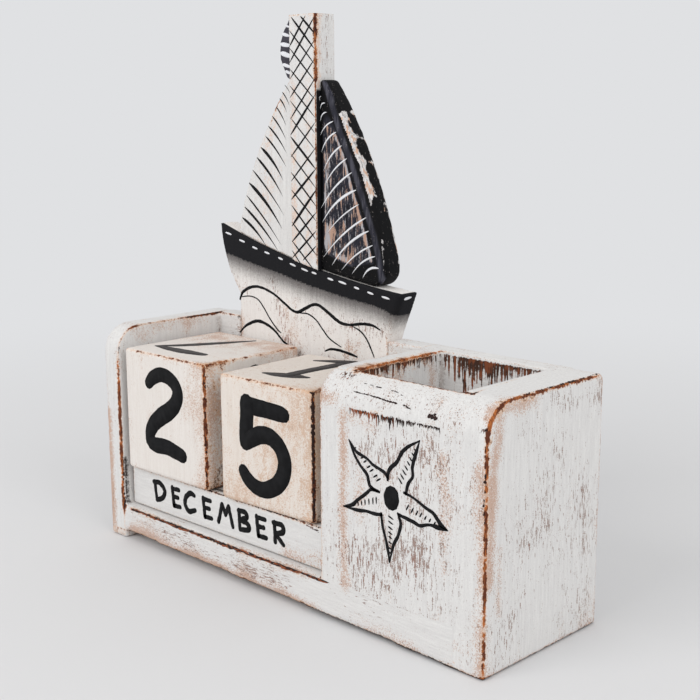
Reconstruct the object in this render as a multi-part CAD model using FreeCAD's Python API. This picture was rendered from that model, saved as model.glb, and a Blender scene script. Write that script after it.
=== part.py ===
import FreeCAD, Part
import math
import os
from FreeCAD import Vector

# Desk calendar with a pen well: a white-washed wooden box with a bay for two
# date cubes over three month bars, a pen well at its right end, and a sailing
# boat standing in the back board.  Millimetres, +Z up, the front towards -Y.
# The origin is on the table, in the middle of the length and of the depth.

# ---- driving dimensions: the two sets of loose pieces
left_cube_side = 47.5
right_cube_side = 46.0
left_twist = 0.8          # degrees that the left cube stands turned
right_twist = 2.5         # degrees that the right cube stands turned
cube_clear = 0.3          # room behind a cube as it is lifted past the mast
seat_gap = 0.2            # loose fit under a cube and under a bar
cube_round = 1.2          # worn edge of a cube
bar_names = ["front_month_bar", "middle_month_bar", "back_month_bar"]
bar_gap = 0.15            # between one bar and the next
bar_end_gap = 1.2         # at each end of a bar
bar_round = 0.7
ledge = 4.0               # base board showing in front of the bars

# ---- driving dimensions: the box
bay_spare = 17.5          # finger room in the bay beside the two cubes
left_cube_gap = 2.4       # between the left end board and the left cube
right_cube_gap = 5.6      # between the right cube and the divider
cube_setback = 1.04       # foremost cube corner behind the front face
pen_box_width = 69.5      # over the divider and the right end board
wall_height = 85.0
left_thick = 9.5
right_thick = 12.0
divider_thick = 9.0
back_thick = 9.0
front_thick = 8.4
right_swell = 4.3         # right end board, thicker by this much at the well's back
base_thick = 10.6         # at its left end
left_lift = 3.4           # underside of the base above the table, at its left
right_lift = 0.3          # and at its right: the box was planed out of true
corner_round = 11.0       # sawn round at the front top corners
back_round = 3.0          # back top corners of the end boards
arris = 1.2               # worn edge round the outside of the end boards

# ---- driving dimensions: the boat, heights above the back board's top edge
boat_shift = 3.8          # hull's middle, left of the bay's middle
hull_length = 99.5
bow_rise = 37.0
stern_rise = 17.5
sheer_sag = 3.2
bow_rake = 11.3           # bow tip out past the wave base
bow_belly = 2.4
shoulder_rise = 9.5       # where the bow meets the wave base
stern_rake = 7.0
stern_round = 2.2         # front arris of the stern, carved round
tongue_depth = 30.0       # wave base let down into the back board
mast_shift = 1.3          # mast right of the hull's middle
mast_width = 14.0
mast_proud = 1.5          # mast's front before the hull's front
mast_rise = 116.0
sail_rise = 92.5
sail_foot = 33.4
sail_head = 2.3           # width of a sail at its top
leech_bulge = 3.8
sail_recess = 0.5         # sails' front behind the hull's front
clew_lift = 8.5           # right sail's lowest full width, above the gunwale
clew_tuck = 6.0
pennant_width = 8.3
pennant_drop = 14.6       # widest point below the mast's top
pennant_bulge = 0.8

# ---- driving dimensions: what holds it together
pin_radius = 0.7
pin_head_radius = 1.3
pin_head = 0.8
pin_length = 24.0
pin_sink = 0.3            # head below the wood's face
pin_clear = 0.05          # hole round a pin or a dowel
pin_inset = 12.0          # from a board's end or edge to its first pin
dowel_radius = 2.0
dowel_length = 20.0
dowel_spread = 50.0       # between the two dowels under the wave base


def turned(side, twist):
    """Width, along X or Y, of a square that stands turned by twist degrees."""
    angle = math.radians(twist)
    return side * (math.cos(angle) + math.sin(angle))


# ---- places worked out from the driving dimensions
deepest_cube = max(turned(left_cube_side, left_twist), turned(right_cube_side, right_twist))
bay_depth = cube_setback + deepest_cube + cube_clear + mast_proud
bay_width = left_cube_side + right_cube_side + bay_spare
length = left_thick + bay_width + pen_box_width
depth = bay_depth + back_thick
bar_side = (bay_depth - ledge) / len(bar_names) - bar_gap

left_face = -length / 2
right_face = length / 2
front_face = -depth / 2
back_face = depth / 2
bay_left = left_face + left_thick
bay_right = right_face - pen_box_width
well_left = bay_right + divider_thick
well_right = right_face - right_thick
well_front = front_face + front_thick
bay_back = back_face - back_thick
base_top = left_lift + base_thick
bar_bottom = base_top + seat_gap
cube_bottom = bar_bottom + bar_side + seat_gap
cube_back = bay_back - mast_proud - cube_clear

bay_middle = (bay_left + bay_right) / 2
hull_middle = bay_middle - boat_shift
bow_x = hull_middle - hull_length / 2
stern_x = hull_middle + hull_length / 2
tongue_left = bow_x + bow_rake
tongue_right = stern_x - stern_rake
tongue_bottom = wall_height - tongue_depth
mast_x = hull_middle + mast_shift
mast_left = mast_x - mast_width / 2
mast_right = mast_x + mast_width / 2
mast_front = bay_back - mast_proud
sail_front = bay_back + sail_recess
sail_thick = back_thick - sail_recess
sail_top = wall_height + sail_rise
mast_top = wall_height + mast_rise
boat_mid_y = bay_back + back_thick / 2


def underside(x):
    """Height of the sloping underside of the base and of the back board."""
    share = (x - bay_left) / (well_right - bay_left)
    return left_lift + share * (right_lift - left_lift)


def block(x0, x1, y0, y1, z0, z1):
    return Part.makeBox(x1 - x0, y1 - y0, z1 - z0, Vector(x0, y0, z0))


def line(a, b):
    return Part.LineSegment(a, b).toShape()


def arc(a, through, b):
    return Part.Arc(a, through, b).toShape()


def bowed(a, b, bulge):
    """An arc from a to b in the XZ plane, bulging to the left of its run."""
    middle = (a + b) * 0.5
    run = b - a
    side = Vector(-run.z, 0, run.x).normalize()
    return arc(a, middle + side * bulge, b)


def plate(edges, thickness):
    """A board with the outline in edges, from its plane towards +Y."""
    face = Part.Face(Part.Wire(edges))
    return face.extrude(Vector(0, thickness, 0))


def side_profile(x, back, foot, back_corner):
    """Outline of an upright board seen from the end, as a face at x."""
    front, top, r = front_face, wall_height, corner_round
    s = r * (1 - math.sqrt(0.5))
    q = back_corner * (1 - math.sqrt(0.5))
    points = [Vector(x, front, foot), Vector(x, front, top - r),
              Vector(x, front + r, top), Vector(x, back - back_corner, top),
              Vector(x, back, top - back_corner), Vector(x, back, foot)]
    edges = [line(points[0], points[1]),
             arc(points[1], Vector(x, front + s, top - s), points[2]),
             line(points[2], points[3])]
    if back_corner > 0:
        edges.append(arc(points[3], Vector(x, back - q, top - q), points[4]))
    edges += [line(points[4], points[5]), line(points[5], points[0])]
    return Part.Face(Part.Wire(edges))


def end_board(inner, outer):
    """An end board, from the table up, with a worn edge round its outside."""
    face = side_profile(inner, back_face, 0, back_round)
    solid = face.extrude(Vector(outer - inner, 0, 0))
    rim = [e for e in solid.Edges
           if all(abs(v.Point.x - outer) < 1e-6 for v in e.Vertexes)]
    return solid.makeFillet(arris, rim)


def make_right_end():
    """The right end board, sawn out of true where it lines the pen well."""
    corners = [Vector(well_right, well_front, base_top), Vector(well_right, bay_back, base_top),
               Vector(well_right - right_swell, bay_back, base_top)]
    swell = Part.Face(Part.makePolygon(corners + corners[:1]))
    swell = swell.extrude(Vector(0, 0, wall_height - base_top))
    return end_board(well_right, right_face).fuse(swell)


def pin(point, along, grow=0.0):
    """A panel pin driven from point on a board's face in the direction along."""
    start = point + along * pin_sink
    head = Part.makeCylinder(pin_head_radius + grow, pin_head + grow,
                             start - along * grow, along)
    shank = Part.makeCylinder(pin_radius + grow, pin_length + grow, start, along)
    return head.fuse(shank)


def pin_hole(point, along):
    """The hole for a pin, open to the face that it was driven from."""
    mouth = Part.makeCylinder(pin_head_radius + pin_clear,
                              pin_sink + pin_head + pin_clear, point, along)
    return mouth.fuse(pin(point, along, pin_clear))


def dowel(x, z, grow=0.0):
    """An upright dowel with its middle at height z, in the boat's mid plane."""
    half = dowel_length / 2 + grow
    return Part.makeCylinder(dowel_radius + grow, 2 * half,
                             Vector(x, boat_mid_y, z - half), Vector(0, 0, 1))


# ---- where the pins go
rightwards = Vector(1, 0, 0)
leftwards = Vector(-1, 0, 0)
forwards = Vector(0, -1, 0)
upwards = Vector(0, 0, 1)
base_mid_z = (left_lift + base_top) / 2
front_mid_y = front_face + front_thick / 2
divider_mid_x = bay_right + divider_thick / 2
well_mid_x = (well_left + well_right) / 2
lower_pin_z = base_top + pin_inset
upper_pin_z = wall_height - pin_inset


def end_pin_places(x, upper_back_z):
    """Pins through an end board: two in the base, two in the back board."""
    return [Vector(x, front_face + pin_inset, base_mid_z),
            Vector(x, bay_back - 2 * pin_inset, base_mid_z),
            Vector(x, boat_mid_y, lower_pin_z),
            Vector(x, boat_mid_y, upper_back_z)]


below_notch_z = tongue_bottom - pin_inset / 2
left_places = [(p, rightwards) for p in end_pin_places(left_face, below_notch_z)]
right_places = [(p, leftwards) for p in end_pin_places(right_face, upper_pin_z)]
right_places += [(Vector(right_face, front_mid_y, z), leftwards)
                 for z in (lower_pin_z, upper_pin_z)]
back_places = [(Vector(divider_mid_x, back_face, z), forwards)
               for z in (lower_pin_z, upper_pin_z)]
back_places += [(Vector(x, back_face, base_mid_z), forwards)
                for x in (bay_left + pin_inset, hull_middle, well_mid_x)]
base_places = [(Vector(divider_mid_x, y, underside(divider_mid_x)), upwards)
               for y in (front_face + pin_inset, bay_back - 2 * pin_inset)]
base_places += [(Vector(well_mid_x, front_mid_y, underside(well_mid_x)), upwards)]
divider_places = [(Vector(bay_right, front_mid_y, z), rightwards)
                  for z in (cube_bottom, upper_pin_z)]
all_places = left_places + right_places + back_places + base_places + divider_places
all_holes = [pin_hole(p, along) for p, along in all_places]


def pinned(solid):
    return solid.cut(all_holes)


# ---- the box
def sloping_board(front, thickness, top):
    """An upright slice from end board to end board, with the sloping underside."""
    corners = [Vector(bay_left, front, left_lift), Vector(bay_left, front, top),
               Vector(well_right, front, top), Vector(well_right, front, right_lift)]
    return plate([line(a, b) for a, b in zip(corners, corners[1:] + corners[:1])],
                 thickness)


def make_base():
    return sloping_board(front_face, bay_back - front_face, base_top)


def make_divider():
    face = side_profile(bay_right, bay_back, base_top, 0)
    return face.extrude(Vector(divider_thick, 0, 0))


def make_pen_front():
    """Front of the pen well: its top follows the round of its neighbours."""
    whole = side_profile(well_left, bay_back, base_top, 0)
    whole = whole.extrude(Vector(well_right - well_left, 0, 0))
    return whole.common(block(well_left, well_right, front_face, well_front,
                              base_top, wall_height))


def make_back():
    """Back board, with the notch that the wave base of the boat stands in."""
    board = sloping_board(bay_back, back_thick, wall_height)
    notch = block(tongue_left, tongue_right, bay_back, back_face,
                  tongue_bottom, wall_height)
    return board.cut([notch] + tongue_dowels(pin_clear))


# ---- the boat
def tongue_dowels(grow=0.0):
    middle = (tongue_left + tongue_right) / 2
    return [dowel(middle + side * dowel_spread / 2, tongue_bottom, grow)
            for side in (-1, 1)]


def gunwale_ends(y):
    return (Vector(bow_x, y, wall_height + bow_rise),
            Vector(stern_x, y, wall_height + stern_rise))


def gunwale_height(x):
    """Height of the sheer line at x, from the arc through its three points."""
    bow, stern = gunwale_ends(0)
    run = stern - bow
    share = (x - bow_x) / hull_length
    return bow.z + run.z * share - 4 * sheer_sag * share * (1 - share)


def make_hull():
    y = bay_back
    bow, stern = gunwale_ends(y)
    stern_foot = Vector(tongue_right, y, wall_height)
    foot_right = Vector(tongue_right, y, tongue_bottom)
    foot_left = Vector(tongue_left, y, tongue_bottom)
    shoulder = Vector(tongue_left, y, wall_height + shoulder_rise)
    edges = [bowed(bow, stern, -sheer_sag), line(stern, stern_foot),
             line(stern_foot, foot_right), line(foot_right, foot_left),
             line(foot_left, shoulder), bowed(shoulder, bow, bow_belly)]
    hull = plate(edges, back_thick)
    middle = (stern + stern_foot) / 2
    hull = hull.makeFillet(stern_round, [edge for edge in hull.Edges
                                         if edge.CenterOfMass.isEqual(middle, 1e-3)])
    return hull.cut(tongue_dowels(pin_clear) + [mast_dowel(pin_clear)])


def mast_dowel(grow=0.0):
    return dowel(mast_x, gunwale_height(mast_x), grow)


def above_gunwale(solid):
    """The part of a mast or sail blank that stands on the hull's top edge."""
    deep = depth / 2
    bow, stern = gunwale_ends(bay_back - deep)
    low_right = Vector(stern.x, stern.y, wall_height)
    low_left = Vector(bow.x, bow.y, wall_height)
    waste = plate([bowed(bow, stern, -sheer_sag), line(stern, low_right),
                   line(low_right, low_left), line(low_left, bow)], 2 * deep)
    return solid.cut(waste)


def make_mast():
    blank = block(mast_left, mast_right, mast_front, back_face,
                  wall_height + stern_rise, mast_top)
    return above_gunwale(blank).cut(mast_dowel(pin_clear))


def make_left_sail():
    y = sail_front
    low = wall_height + stern_rise
    leech_foot = mast_left - sail_foot
    head_out = Vector(mast_left - sail_head, y, sail_top)
    head_in = Vector(mast_left, y, sail_top)
    foot_in = Vector(mast_left, y, low)
    foot_out = Vector(leech_foot, y, low)
    tack = Vector(leech_foot, y, gunwale_height(leech_foot))
    edges = [line(foot_out, tack), bowed(tack, head_out, leech_bulge),
             line(head_out, head_in), line(head_in, foot_in),
             line(foot_in, foot_out)]
    return above_gunwale(plate(edges, sail_thick))


def make_right_sail():
    y = sail_front
    low = wall_height + stern_rise - sheer_sag
    clew_x = mast_right + sail_foot
    tuck_x = clew_x - clew_tuck
    head_in = Vector(mast_right, y, sail_top)
    head_out = Vector(mast_right + sail_head, y, sail_top)
    clew = Vector(clew_x, y, gunwale_height(clew_x) + clew_lift)
    tuck = Vector(tuck_x, y, gunwale_height(tuck_x))
    foot_out = Vector(tuck_x, y, low)
    foot_in = Vector(mast_right, y, low)
    edges = [line(head_in, head_out), bowed(head_out, clew, leech_bulge),
             bowed(clew, tuck, clew_tuck / 3), line(tuck, foot_out),
             line(foot_out, foot_in), line(foot_in, head_in)]
    return above_gunwale(plate(edges, sail_thick))


def make_pennant():
    """Pennant down the left of the mast, from its top to the sail's head."""
    y = sail_front
    top = Vector(mast_left, y, mast_top)
    tip = Vector(mast_left - pennant_width, y, mast_top - pennant_drop)
    foot_out = Vector(mast_left - sail_head, y, sail_top)
    foot_in = Vector(mast_left, y, sail_top)
    edges = [line(foot_in, foot_out), bowed(foot_out, tip, pennant_bulge),
             bowed(tip, top, pennant_bulge), line(top, foot_in)]
    return plate(edges, sail_thick)


# ---- the loose pieces
def date_cube(side, left, twist):
    """A cube whose left and back corners reach left and cube_back."""
    angle = math.radians(twist)
    lean = side * math.sin(angle)
    cube = block(0, side, 0, side, 0, side)
    cube = cube.makeFillet(cube_round, cube.Edges)
    cube.rotate(Vector(0, 0, 0), Vector(0, 0, 1), twist)
    cube.translate(Vector(left + lean, cube_back - turned(side, twist), cube_bottom))
    return cube


def month_bar(index):
    """Bar number index, counted from the front."""
    front = front_face + ledge + index * (bar_side + bar_gap)
    bar = block(bay_left + bar_end_gap, bay_right - bar_end_gap,
                front, front + bar_side, bar_bottom, bar_bottom + bar_side)
    long_edges = [e for e in bar.Edges if e.Length > 2 * bar_side]
    return bar.makeFillet(bar_round, long_edges)


left_cube_left = bay_left + left_cube_gap
right_cube_left = bay_right - right_cube_gap - turned(right_cube_side, right_twist)


def pin_group(places):
    return Part.makeCompound([pin(p, along) for p, along in places])


def build():
    nodes = {
        "left_end_board": pinned(end_board(bay_left, left_face)),
        "right_end_board": pinned(make_right_end()),
        "base_board": pinned(make_base()),
        "back_board": pinned(make_back()),
        "pen_divider": pinned(make_divider()),
        "pen_front_board": pinned(make_pen_front()),
        "boat_hull": make_hull(),
        "boat_mast": make_mast(),
        "boat_left_sail": make_left_sail(),
        "boat_right_sail": make_right_sail(),
        "boat_pennant": make_pennant(),
        "left_date_cube": date_cube(left_cube_side, left_cube_left, left_twist),
        "right_date_cube": date_cube(right_cube_side, right_cube_left, right_twist),
        "left_end_pins": pin_group(left_places),
        "right_end_pins": pin_group(right_places),
        "back_board_pins": pin_group(back_places),
        "base_pins": pin_group(base_places),
        "divider_pins": pin_group(divider_places),
        "mast_dowel": mast_dowel(),
        "wave_base_dowels": Part.makeCompound(tongue_dowels()),
    }
    for index, name in enumerate(bar_names):
        nodes[name] = month_bar(index)
    return nodes


os.makedirs("parts", exist_ok=True)
for name, shape in build().items():
    shape.exportStep("parts/" + name + ".step")
    state = "valid" if shape.isValid() else "not valid"
    print(name, len(shape.Solids), "solids,", state, round(shape.Volume), "mm3")
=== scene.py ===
import math

import bmesh
import bpy
import numpy as np
from mathutils import Matrix, Vector


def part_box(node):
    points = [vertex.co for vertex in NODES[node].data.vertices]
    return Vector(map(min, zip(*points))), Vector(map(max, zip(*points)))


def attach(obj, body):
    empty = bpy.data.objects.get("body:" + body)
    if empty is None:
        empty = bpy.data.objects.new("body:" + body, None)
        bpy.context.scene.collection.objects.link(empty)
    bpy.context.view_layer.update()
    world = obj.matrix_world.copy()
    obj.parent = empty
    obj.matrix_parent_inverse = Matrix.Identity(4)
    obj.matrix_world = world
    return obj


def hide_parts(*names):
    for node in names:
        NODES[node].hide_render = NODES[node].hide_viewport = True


# Wooden desk calendar: a white-washed box with two date cubes, three month
# bars, a pen well and a painted sailing boat.  Places are worked out in
# millimetres in the frame of the CAD model and become metres in each mesh.

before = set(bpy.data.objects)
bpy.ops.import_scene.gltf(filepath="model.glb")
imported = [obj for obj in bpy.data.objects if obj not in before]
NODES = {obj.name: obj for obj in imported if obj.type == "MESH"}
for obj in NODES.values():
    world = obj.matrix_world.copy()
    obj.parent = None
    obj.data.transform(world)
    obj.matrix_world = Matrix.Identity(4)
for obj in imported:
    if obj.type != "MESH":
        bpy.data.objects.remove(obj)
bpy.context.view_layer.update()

MM = 0.001
SCENE = bpy.context.scene


# ---------------------------------------------------------------- measures
def corner_pair(node):
    """Lowest and highest corner of a CAD node, in millimetres."""
    low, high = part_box(node)
    return np.array(low) / MM, np.array(high) / MM


LEFT_END = corner_pair("left_end_board")
RIGHT_END = corner_pair("right_end_board")
BASE = corner_pair("base_board")
BACK = corner_pair("back_board")
DIVIDER = corner_pair("pen_divider")
PEN_FRONT = corner_pair("pen_front_board")
HULL = corner_pair("boat_hull")
MAST = corner_pair("boat_mast")
LEFT_SAIL = corner_pair("boat_left_sail")
RIGHT_SAIL = corner_pair("boat_right_sail")
PENNANT = corner_pair("boat_pennant")

FRONT_Y = LEFT_END[0][1]
BACK_Y = LEFT_END[1][1]
WALL_Y = BACK[0][1]              # front of the back board and of the hull
WALL_TOP = LEFT_END[1][2]
BASE_TOP = BASE[1][2]
BAY_LEFT = BASE[0][0]
BAY_RIGHT = DIVIDER[0][0]
WELL_LEFT = DIVIDER[1][0]
WELL_RIGHT = BASE[1][0]
SWELL_LEFT = RIGHT_END[0][0]     # the right end board is thickest at the well's back
WELL_FRONT = PEN_FRONT[1][1]
HULL_FOOT = HULL[0][2]
BOW_RAKE = 11.3                  # how far the hull's ends stand out past the wave base
STERN_RAKE = 7.0
STERN_RISE = 17.5                # the stern's top above the box
SHEER_SAG = 3.2                  # dip of the gunwale between bow and stern
HULL_TONGUE = (HULL[0][0] + BOW_RAKE, HULL[1][0] - STERN_RAKE)
CORNER_ROUND = 11.0
BACK_ROUND = 3.0
LEFT_LIFT = 3.4                  # the base's underside at its left end
CUBE_SIDES = {"left_date_cube": 47.5, "right_date_cube": 46.0}
CUBE_TWISTS = {"left_date_cube": 0.8, "right_date_cube": 2.5}     # degrees
BOX = "calendar_box"             # the body that the boards and the boat belong to

# finished faces lie this far inside the solids
FACE_INSET = 0.12
COPY_INSET = 0.05                # of the cubes, the bars and the boat
PENNANT_INSET = 0.03

# how a shape is worn: the size of its even faces, how far its edges are
# rounded, how far from them the paint is rubbed, and a seed
WORN = {
    "box": (0.75, 0.8, 2.4, 11),
    "boat_hull": (0.5, 0.6, 1.6, 21),
    "boat_mast": (0.5, 0.5, 1.4, 23),
    "boat_left_sail": (0.5, 0.6, 1.6, 25),
    "boat_right_sail": (0.5, 1.1, 1.8, 27),
    "boat_pennant": (0.28, 0.2, 0.7, 29),
    "left_date_cube": (0.6, 0.5, 2.0, 71),
    "right_date_cube": (0.6, 0.5, 2.0, 83),
    "month_bar": (0.6, 0.4, 1.4, 95),
}


# ---------------------------------------------------------------- noise
def lattice(cells, seed):
    """A fixed random number from 0 to 1 for each whole-numbered cell."""
    c = cells.astype(np.int64)
    mixed = c[:, 0] * 73856093 ^ c[:, 1] * 19349663 ^ c[:, 2] * 83492791 ^ seed * 2654435761
    mixed = (mixed ^ (mixed >> 13)) & 0xFFFFFFFF
    mixed = (mixed * 1274126177) & 0xFFFFFFFF
    mixed = mixed ^ (mixed >> 16)
    return (mixed & 0xFFFFFF) / float(0xFFFFFF)


def ripple(points, size, seed):
    """Smooth noise from 0 to 1 with lumps of the given size along X, Y, Z."""
    place = points / np.asarray(size, float)
    cell = np.floor(place)
    part = place - cell
    part = part * part * (3 - 2 * part)
    total = np.zeros(len(points))
    for i in (0, 1):
        for j in (0, 1):
            for k in (0, 1):
                share = (np.abs(1 - i - part[:, 0]) * np.abs(1 - j - part[:, 1])
                         * np.abs(1 - k - part[:, 2]))
                total += share * lattice(cell + (i, j, k), seed)
    return total


def ramp(values, low, high):
    """0 below low, 1 above high, smooth between them."""
    share = np.clip((values - low) / (high - low), 0, 1)
    return share * share * (3 - 2 * share)


# ---------------------------------------------------------------- meshes
def positions(mesh):
    flat = np.zeros(len(mesh.vertices) * 3, np.float32)
    mesh.vertices.foreach_get("co", flat)
    return flat.reshape(-1, 3).astype(float) / MM


def normals(mesh):
    flat = np.zeros(len(mesh.vertices) * 3, np.float32)
    mesh.vertices.foreach_get("normal", flat)
    return flat.reshape(-1, 3).astype(float)


def set_positions(mesh, points):
    mesh.vertices.foreach_set("co", (points * MM).astype(np.float32).ravel())
    mesh.update()


def set_values(mesh, name, values):
    layer = mesh.attributes.get(name) or mesh.attributes.new(name, "FLOAT", "POINT")
    layer.data.foreach_set("value", values.astype(np.float32))


def prism(outline, axis, low, high):
    """Points and faces of an outline, given in the two other axes in order."""
    count = len(outline)
    points = []
    for level in (low, high):
        for pair in outline:
            place = list(pair)
            place.insert(axis, level)
            points.append(place)
    faces = [list(range(count)), list(range(count, 2 * count))]
    for i in range(count):
        j = (i + 1) % count
        faces.append([i, j, count + j, count + i])
    return points, faces


def joined(name, parts):
    """One mesh of several closed shapes, each with its faces outwards."""
    bm = bmesh.new()
    for points, faces in parts:
        verts = [bm.verts.new(Vector(p) * MM) for p in points]
        made = [bm.faces.new([verts[i] for i in face]) for face in faces]
        bmesh.ops.recalc_face_normals(bm, faces=made)
    mesh = bpy.data.meshes.new(name)
    bm.to_mesh(mesh)
    bm.free()
    return mesh


def modified(mesh, change):
    """The mesh as it comes out of the modifiers that change adds to its holder."""
    holder = bpy.data.objects.new("blank", mesh)
    SCENE.collection.objects.link(holder)
    change(holder)
    seen = holder.evaluated_get(bpy.context.evaluated_depsgraph_get())
    result = bpy.data.meshes.new_from_object(seen)
    bpy.data.objects.remove(holder)
    return result


def evened(mesh, voxel):
    """The mesh made again from small even faces."""
    def remesh(holder):
        even = holder.modifiers.new("even", "REMESH")
        even.mode = "VOXEL"
        even.voxel_size = voxel * MM

    return modified(mesh, remesh)


def smoothed(points, pairs, rounds):
    """Points drawn together with their neighbours, so that edges sink in."""
    size = len(points)
    first, second = pairs[:, 0], pairs[:, 1]
    count = np.bincount(first, minlength=size) + np.bincount(second, minlength=size)
    for _ in range(rounds):
        total = np.empty_like(points)
        for k in range(3):
            total[:, k] = (np.bincount(first, points[second, k], size)
                           + np.bincount(second, points[first, k], size))
        points = total / count[:, None]
    return points


def edge_pairs(mesh):
    flat = np.zeros(len(mesh.edges) * 2, np.int32)
    mesh.edges.foreach_get("vertices", flat)
    return flat.reshape(-1, 2)


SHARP_SINK = 0.56                # how far smoothing sinks a sharp edge, in halos
CHIP_DEPTH = 0.3


def worn(blank, kind, inset):
    """The closed mesh made again from small even faces, with its edges worn.

    The edges are rounded off unevenly, as WORN says.  The stored value "rub"
    is 1 on a sharp outer edge and "nook" is 1 in an inner corner.
    """
    voxel, rounding, halo, seed = WORN[kind]
    mesh = evened(blank, voxel)
    start = positions(mesh)
    out = normals(mesh)
    pairs = edge_pairs(mesh)
    near = smoothed(start, pairs, max(1, round(2 * (rounding / voxel) ** 2)))
    wide = smoothed(start, pairs, round(2 * (halo / voxel) ** 2))
    sunk = np.einsum("ij,ij->i", start - wide, out) / (SHARP_SINK * halo)
    rub = np.clip(sunk, 0, 1.2)
    nook = np.clip(-sunk, 0, 1.2)
    uneven = ripple(start, (7, 7, 7), seed) + 0.6 * ripple(start, (2.2, 2.2, 2.2), seed + 1)
    amount = np.where(sunk > 0, 0.35 + 0.9 * uneven, 0.8)
    points = start + (near - start) * amount[:, None]
    chips = ramp(ripple(start, (1.6, 1.6, 1.6), seed + 2), 0.62, 0.8) * ramp(rub, 0.55, 0.85)
    points -= out * (inset + CHIP_DEPTH * chips)[:, None]
    set_positions(mesh, points)
    set_values(mesh, "rub", rub)
    set_values(mesh, "nook", nook)
    return mesh


def split(mesh, axis, at):
    """The two closed halves of a mesh on the low and the high side of a plane."""
    halves = []
    direction = Vector([1.0 if k == axis else 0.0 for k in range(3)])
    for side in (1, -1):
        bm = bmesh.new()
        bm.from_mesh(mesh)
        cut = bmesh.ops.bisect_plane(
            bm, geom=bm.verts[:] + bm.edges[:] + bm.faces[:], dist=1e-7,
            plane_co=direction * at * MM, plane_no=direction * side, clear_outer=True)
        rim = [e for e in cut["geom_cut"] if isinstance(e, bmesh.types.BMEdge)]
        for edge in rim:
            edge.smooth = False
        bmesh.ops.triangle_fill(bm, use_beauty=True, use_dissolve=False, edges=rim,
                                normal=direction * side)
        half = bpy.data.meshes.new(mesh.name + "_half")
        bm.to_mesh(half)
        bm.free()
        halves.append(half)
    return halves


def finished(name, mesh, body, material, slot, *replaced):
    """A finished piece: shaded smooth, riding on its body, in its material."""
    piece = bpy.data.objects.new(name, mesh)
    SCENE.collection.objects.link(piece)
    mesh.name = name
    mesh.shade_smooth()
    mesh.materials.clear()
    mesh.materials.append(material)
    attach(piece, body)
    if replaced:
        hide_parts(*replaced)
    return piece


# ---------------------------------------------------------------- materials
def tint(red, green, blue):
    """A colour written from 0 to 255 as on a screen, made linear."""
    parts = [v / 255 for v in (red, green, blue)]
    linear = [v / 12.92 if v <= 0.04045 else ((v + 0.055) / 1.055) ** 2.4 for v in parts]
    return (*linear, 1.0)


def add_node(tree, kind, inputs=None, **settings):
    """A new node with its settings, and its inputs set or linked."""
    node = tree.nodes.new(kind)
    for key, value in settings.items():
        setattr(node, key, value)
    for key, value in (inputs or {}).items():
        if isinstance(value, bpy.types.NodeSocket):
            tree.links.new(value, node.inputs[key])
        else:
            node.inputs[key].default_value = value
    return node


class Recipe:
    """One procedural material, put together step by step in millimetres."""

    def __init__(self, name, roughness, specular):
        self.material = bpy.data.materials.new(name)
        self.material.use_nodes = True
        self.tree = self.material.node_tree
        self.tree.nodes.clear()
        self.shader = self.node("ShaderNodeBsdfPrincipled", {
            "Roughness": roughness, "Specular IOR Level": specular})
        self.output = self.node("ShaderNodeOutputMaterial", {"Surface": self.shader.outputs[0]})
        self.coordinates = self.node("ShaderNodeTexCoord").outputs["Object"]

    def node(self, kind, inputs=None, **settings):
        return add_node(self.tree, kind, inputs, **settings)

    def math(self, operation, first, second=0.0):
        return self.node("ShaderNodeMath", {0: first, 1: second}, operation=operation).outputs[0]

    def add(self, *terms):
        """The sum of (value, weight) pairs; plain numbers are summed first."""
        total = sum(v * w for v, w in terms if not isinstance(v, bpy.types.NodeSocket))
        for value, weight in terms:
            if isinstance(value, bpy.types.NodeSocket):
                part = value if weight == 1.0 else self.math("MULTIPLY", value, weight)
                total = self.math("ADD", part, total) if total != 0 else part
        return total

    def least(self, *values):
        return self.chain("MINIMUM", values)

    def most(self, *values):
        return self.chain("MAXIMUM", values)

    def chain(self, operation, values):
        result = values[0]
        for value in values[1:]:
            result = self.math(operation, result, value)
        return result

    def less(self, value, taken):
        return self.math("SUBTRACT", value, taken)

    def hypotenuse(self, first, second):
        squares = self.add((self.math("MULTIPLY", first, first), 1.0),
                           (self.math("MULTIPLY", second, second), 1.0))
        return self.math("SQRT", squares)

    def stored(self, name):
        """A value stored on the mesh by name."""
        return self.node("ShaderNodeAttribute", attribute_name=name).outputs["Fac"]

    def axis(self, index):
        """The place along one axis, in millimetres."""
        apart = self.node("ShaderNodeSeparateXYZ", {0: self.coordinates})
        return self.math("MULTIPLY", apart.outputs[index], 1 / MM)

    def noise(self, size, detail=2.0, shift=0.0):
        """Noise with lumps of the given size in millimetres along X, Y, Z."""
        place = self.node("ShaderNodeMapping", {
            "Vector": self.coordinates, "Location": (shift, shift * 1.7, shift * 0.6),
            "Scale": [1 / (MM * s) for s in size]})
        texture = self.node("ShaderNodeTexNoise", {
            "Vector": place.outputs[0], "Scale": 1.0, "Detail": detail, "Roughness": 0.5})
        return texture.outputs["Fac"]

    def spread(self, size, detail=2.0, shift=0.0):
        """Noise drawn out to fill the range from 0 to 1."""
        return self.node("ShaderNodeMapRange", {
            "Value": self.noise(size, detail, shift), "From Min": 0.3, "From Max": 0.7,
        }).outputs["Result"]

    def step(self, value, low, high, most=1.0):
        """0 below low, most above high, smooth between them."""
        return self.node("ShaderNodeMapRange", {
            "Value": value, "From Min": low, "From Max": high, "To Max": most,
        }, interpolation_type="SMOOTHSTEP").outputs["Result"]

    def mix(self, share, first, second):
        """first where share is 0 and second where it is 1."""
        return self.node("ShaderNodeMix", {0: share, 6: first, 7: second},
                         data_type="RGBA").outputs[2]

    def finish(self, colour, height, depth):
        """The material with its colour, and with height as a relief of depth mm."""
        self.tree.links.new(colour, self.shader.inputs["Base Color"])
        bump = self.node("ShaderNodeBump", {"Strength": 1.0, "Distance": depth * MM,
                                            "Height": height})
        self.tree.links.new(bump.outputs["Normal"], self.shader.inputs["Normal"])
        return self.material


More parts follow.
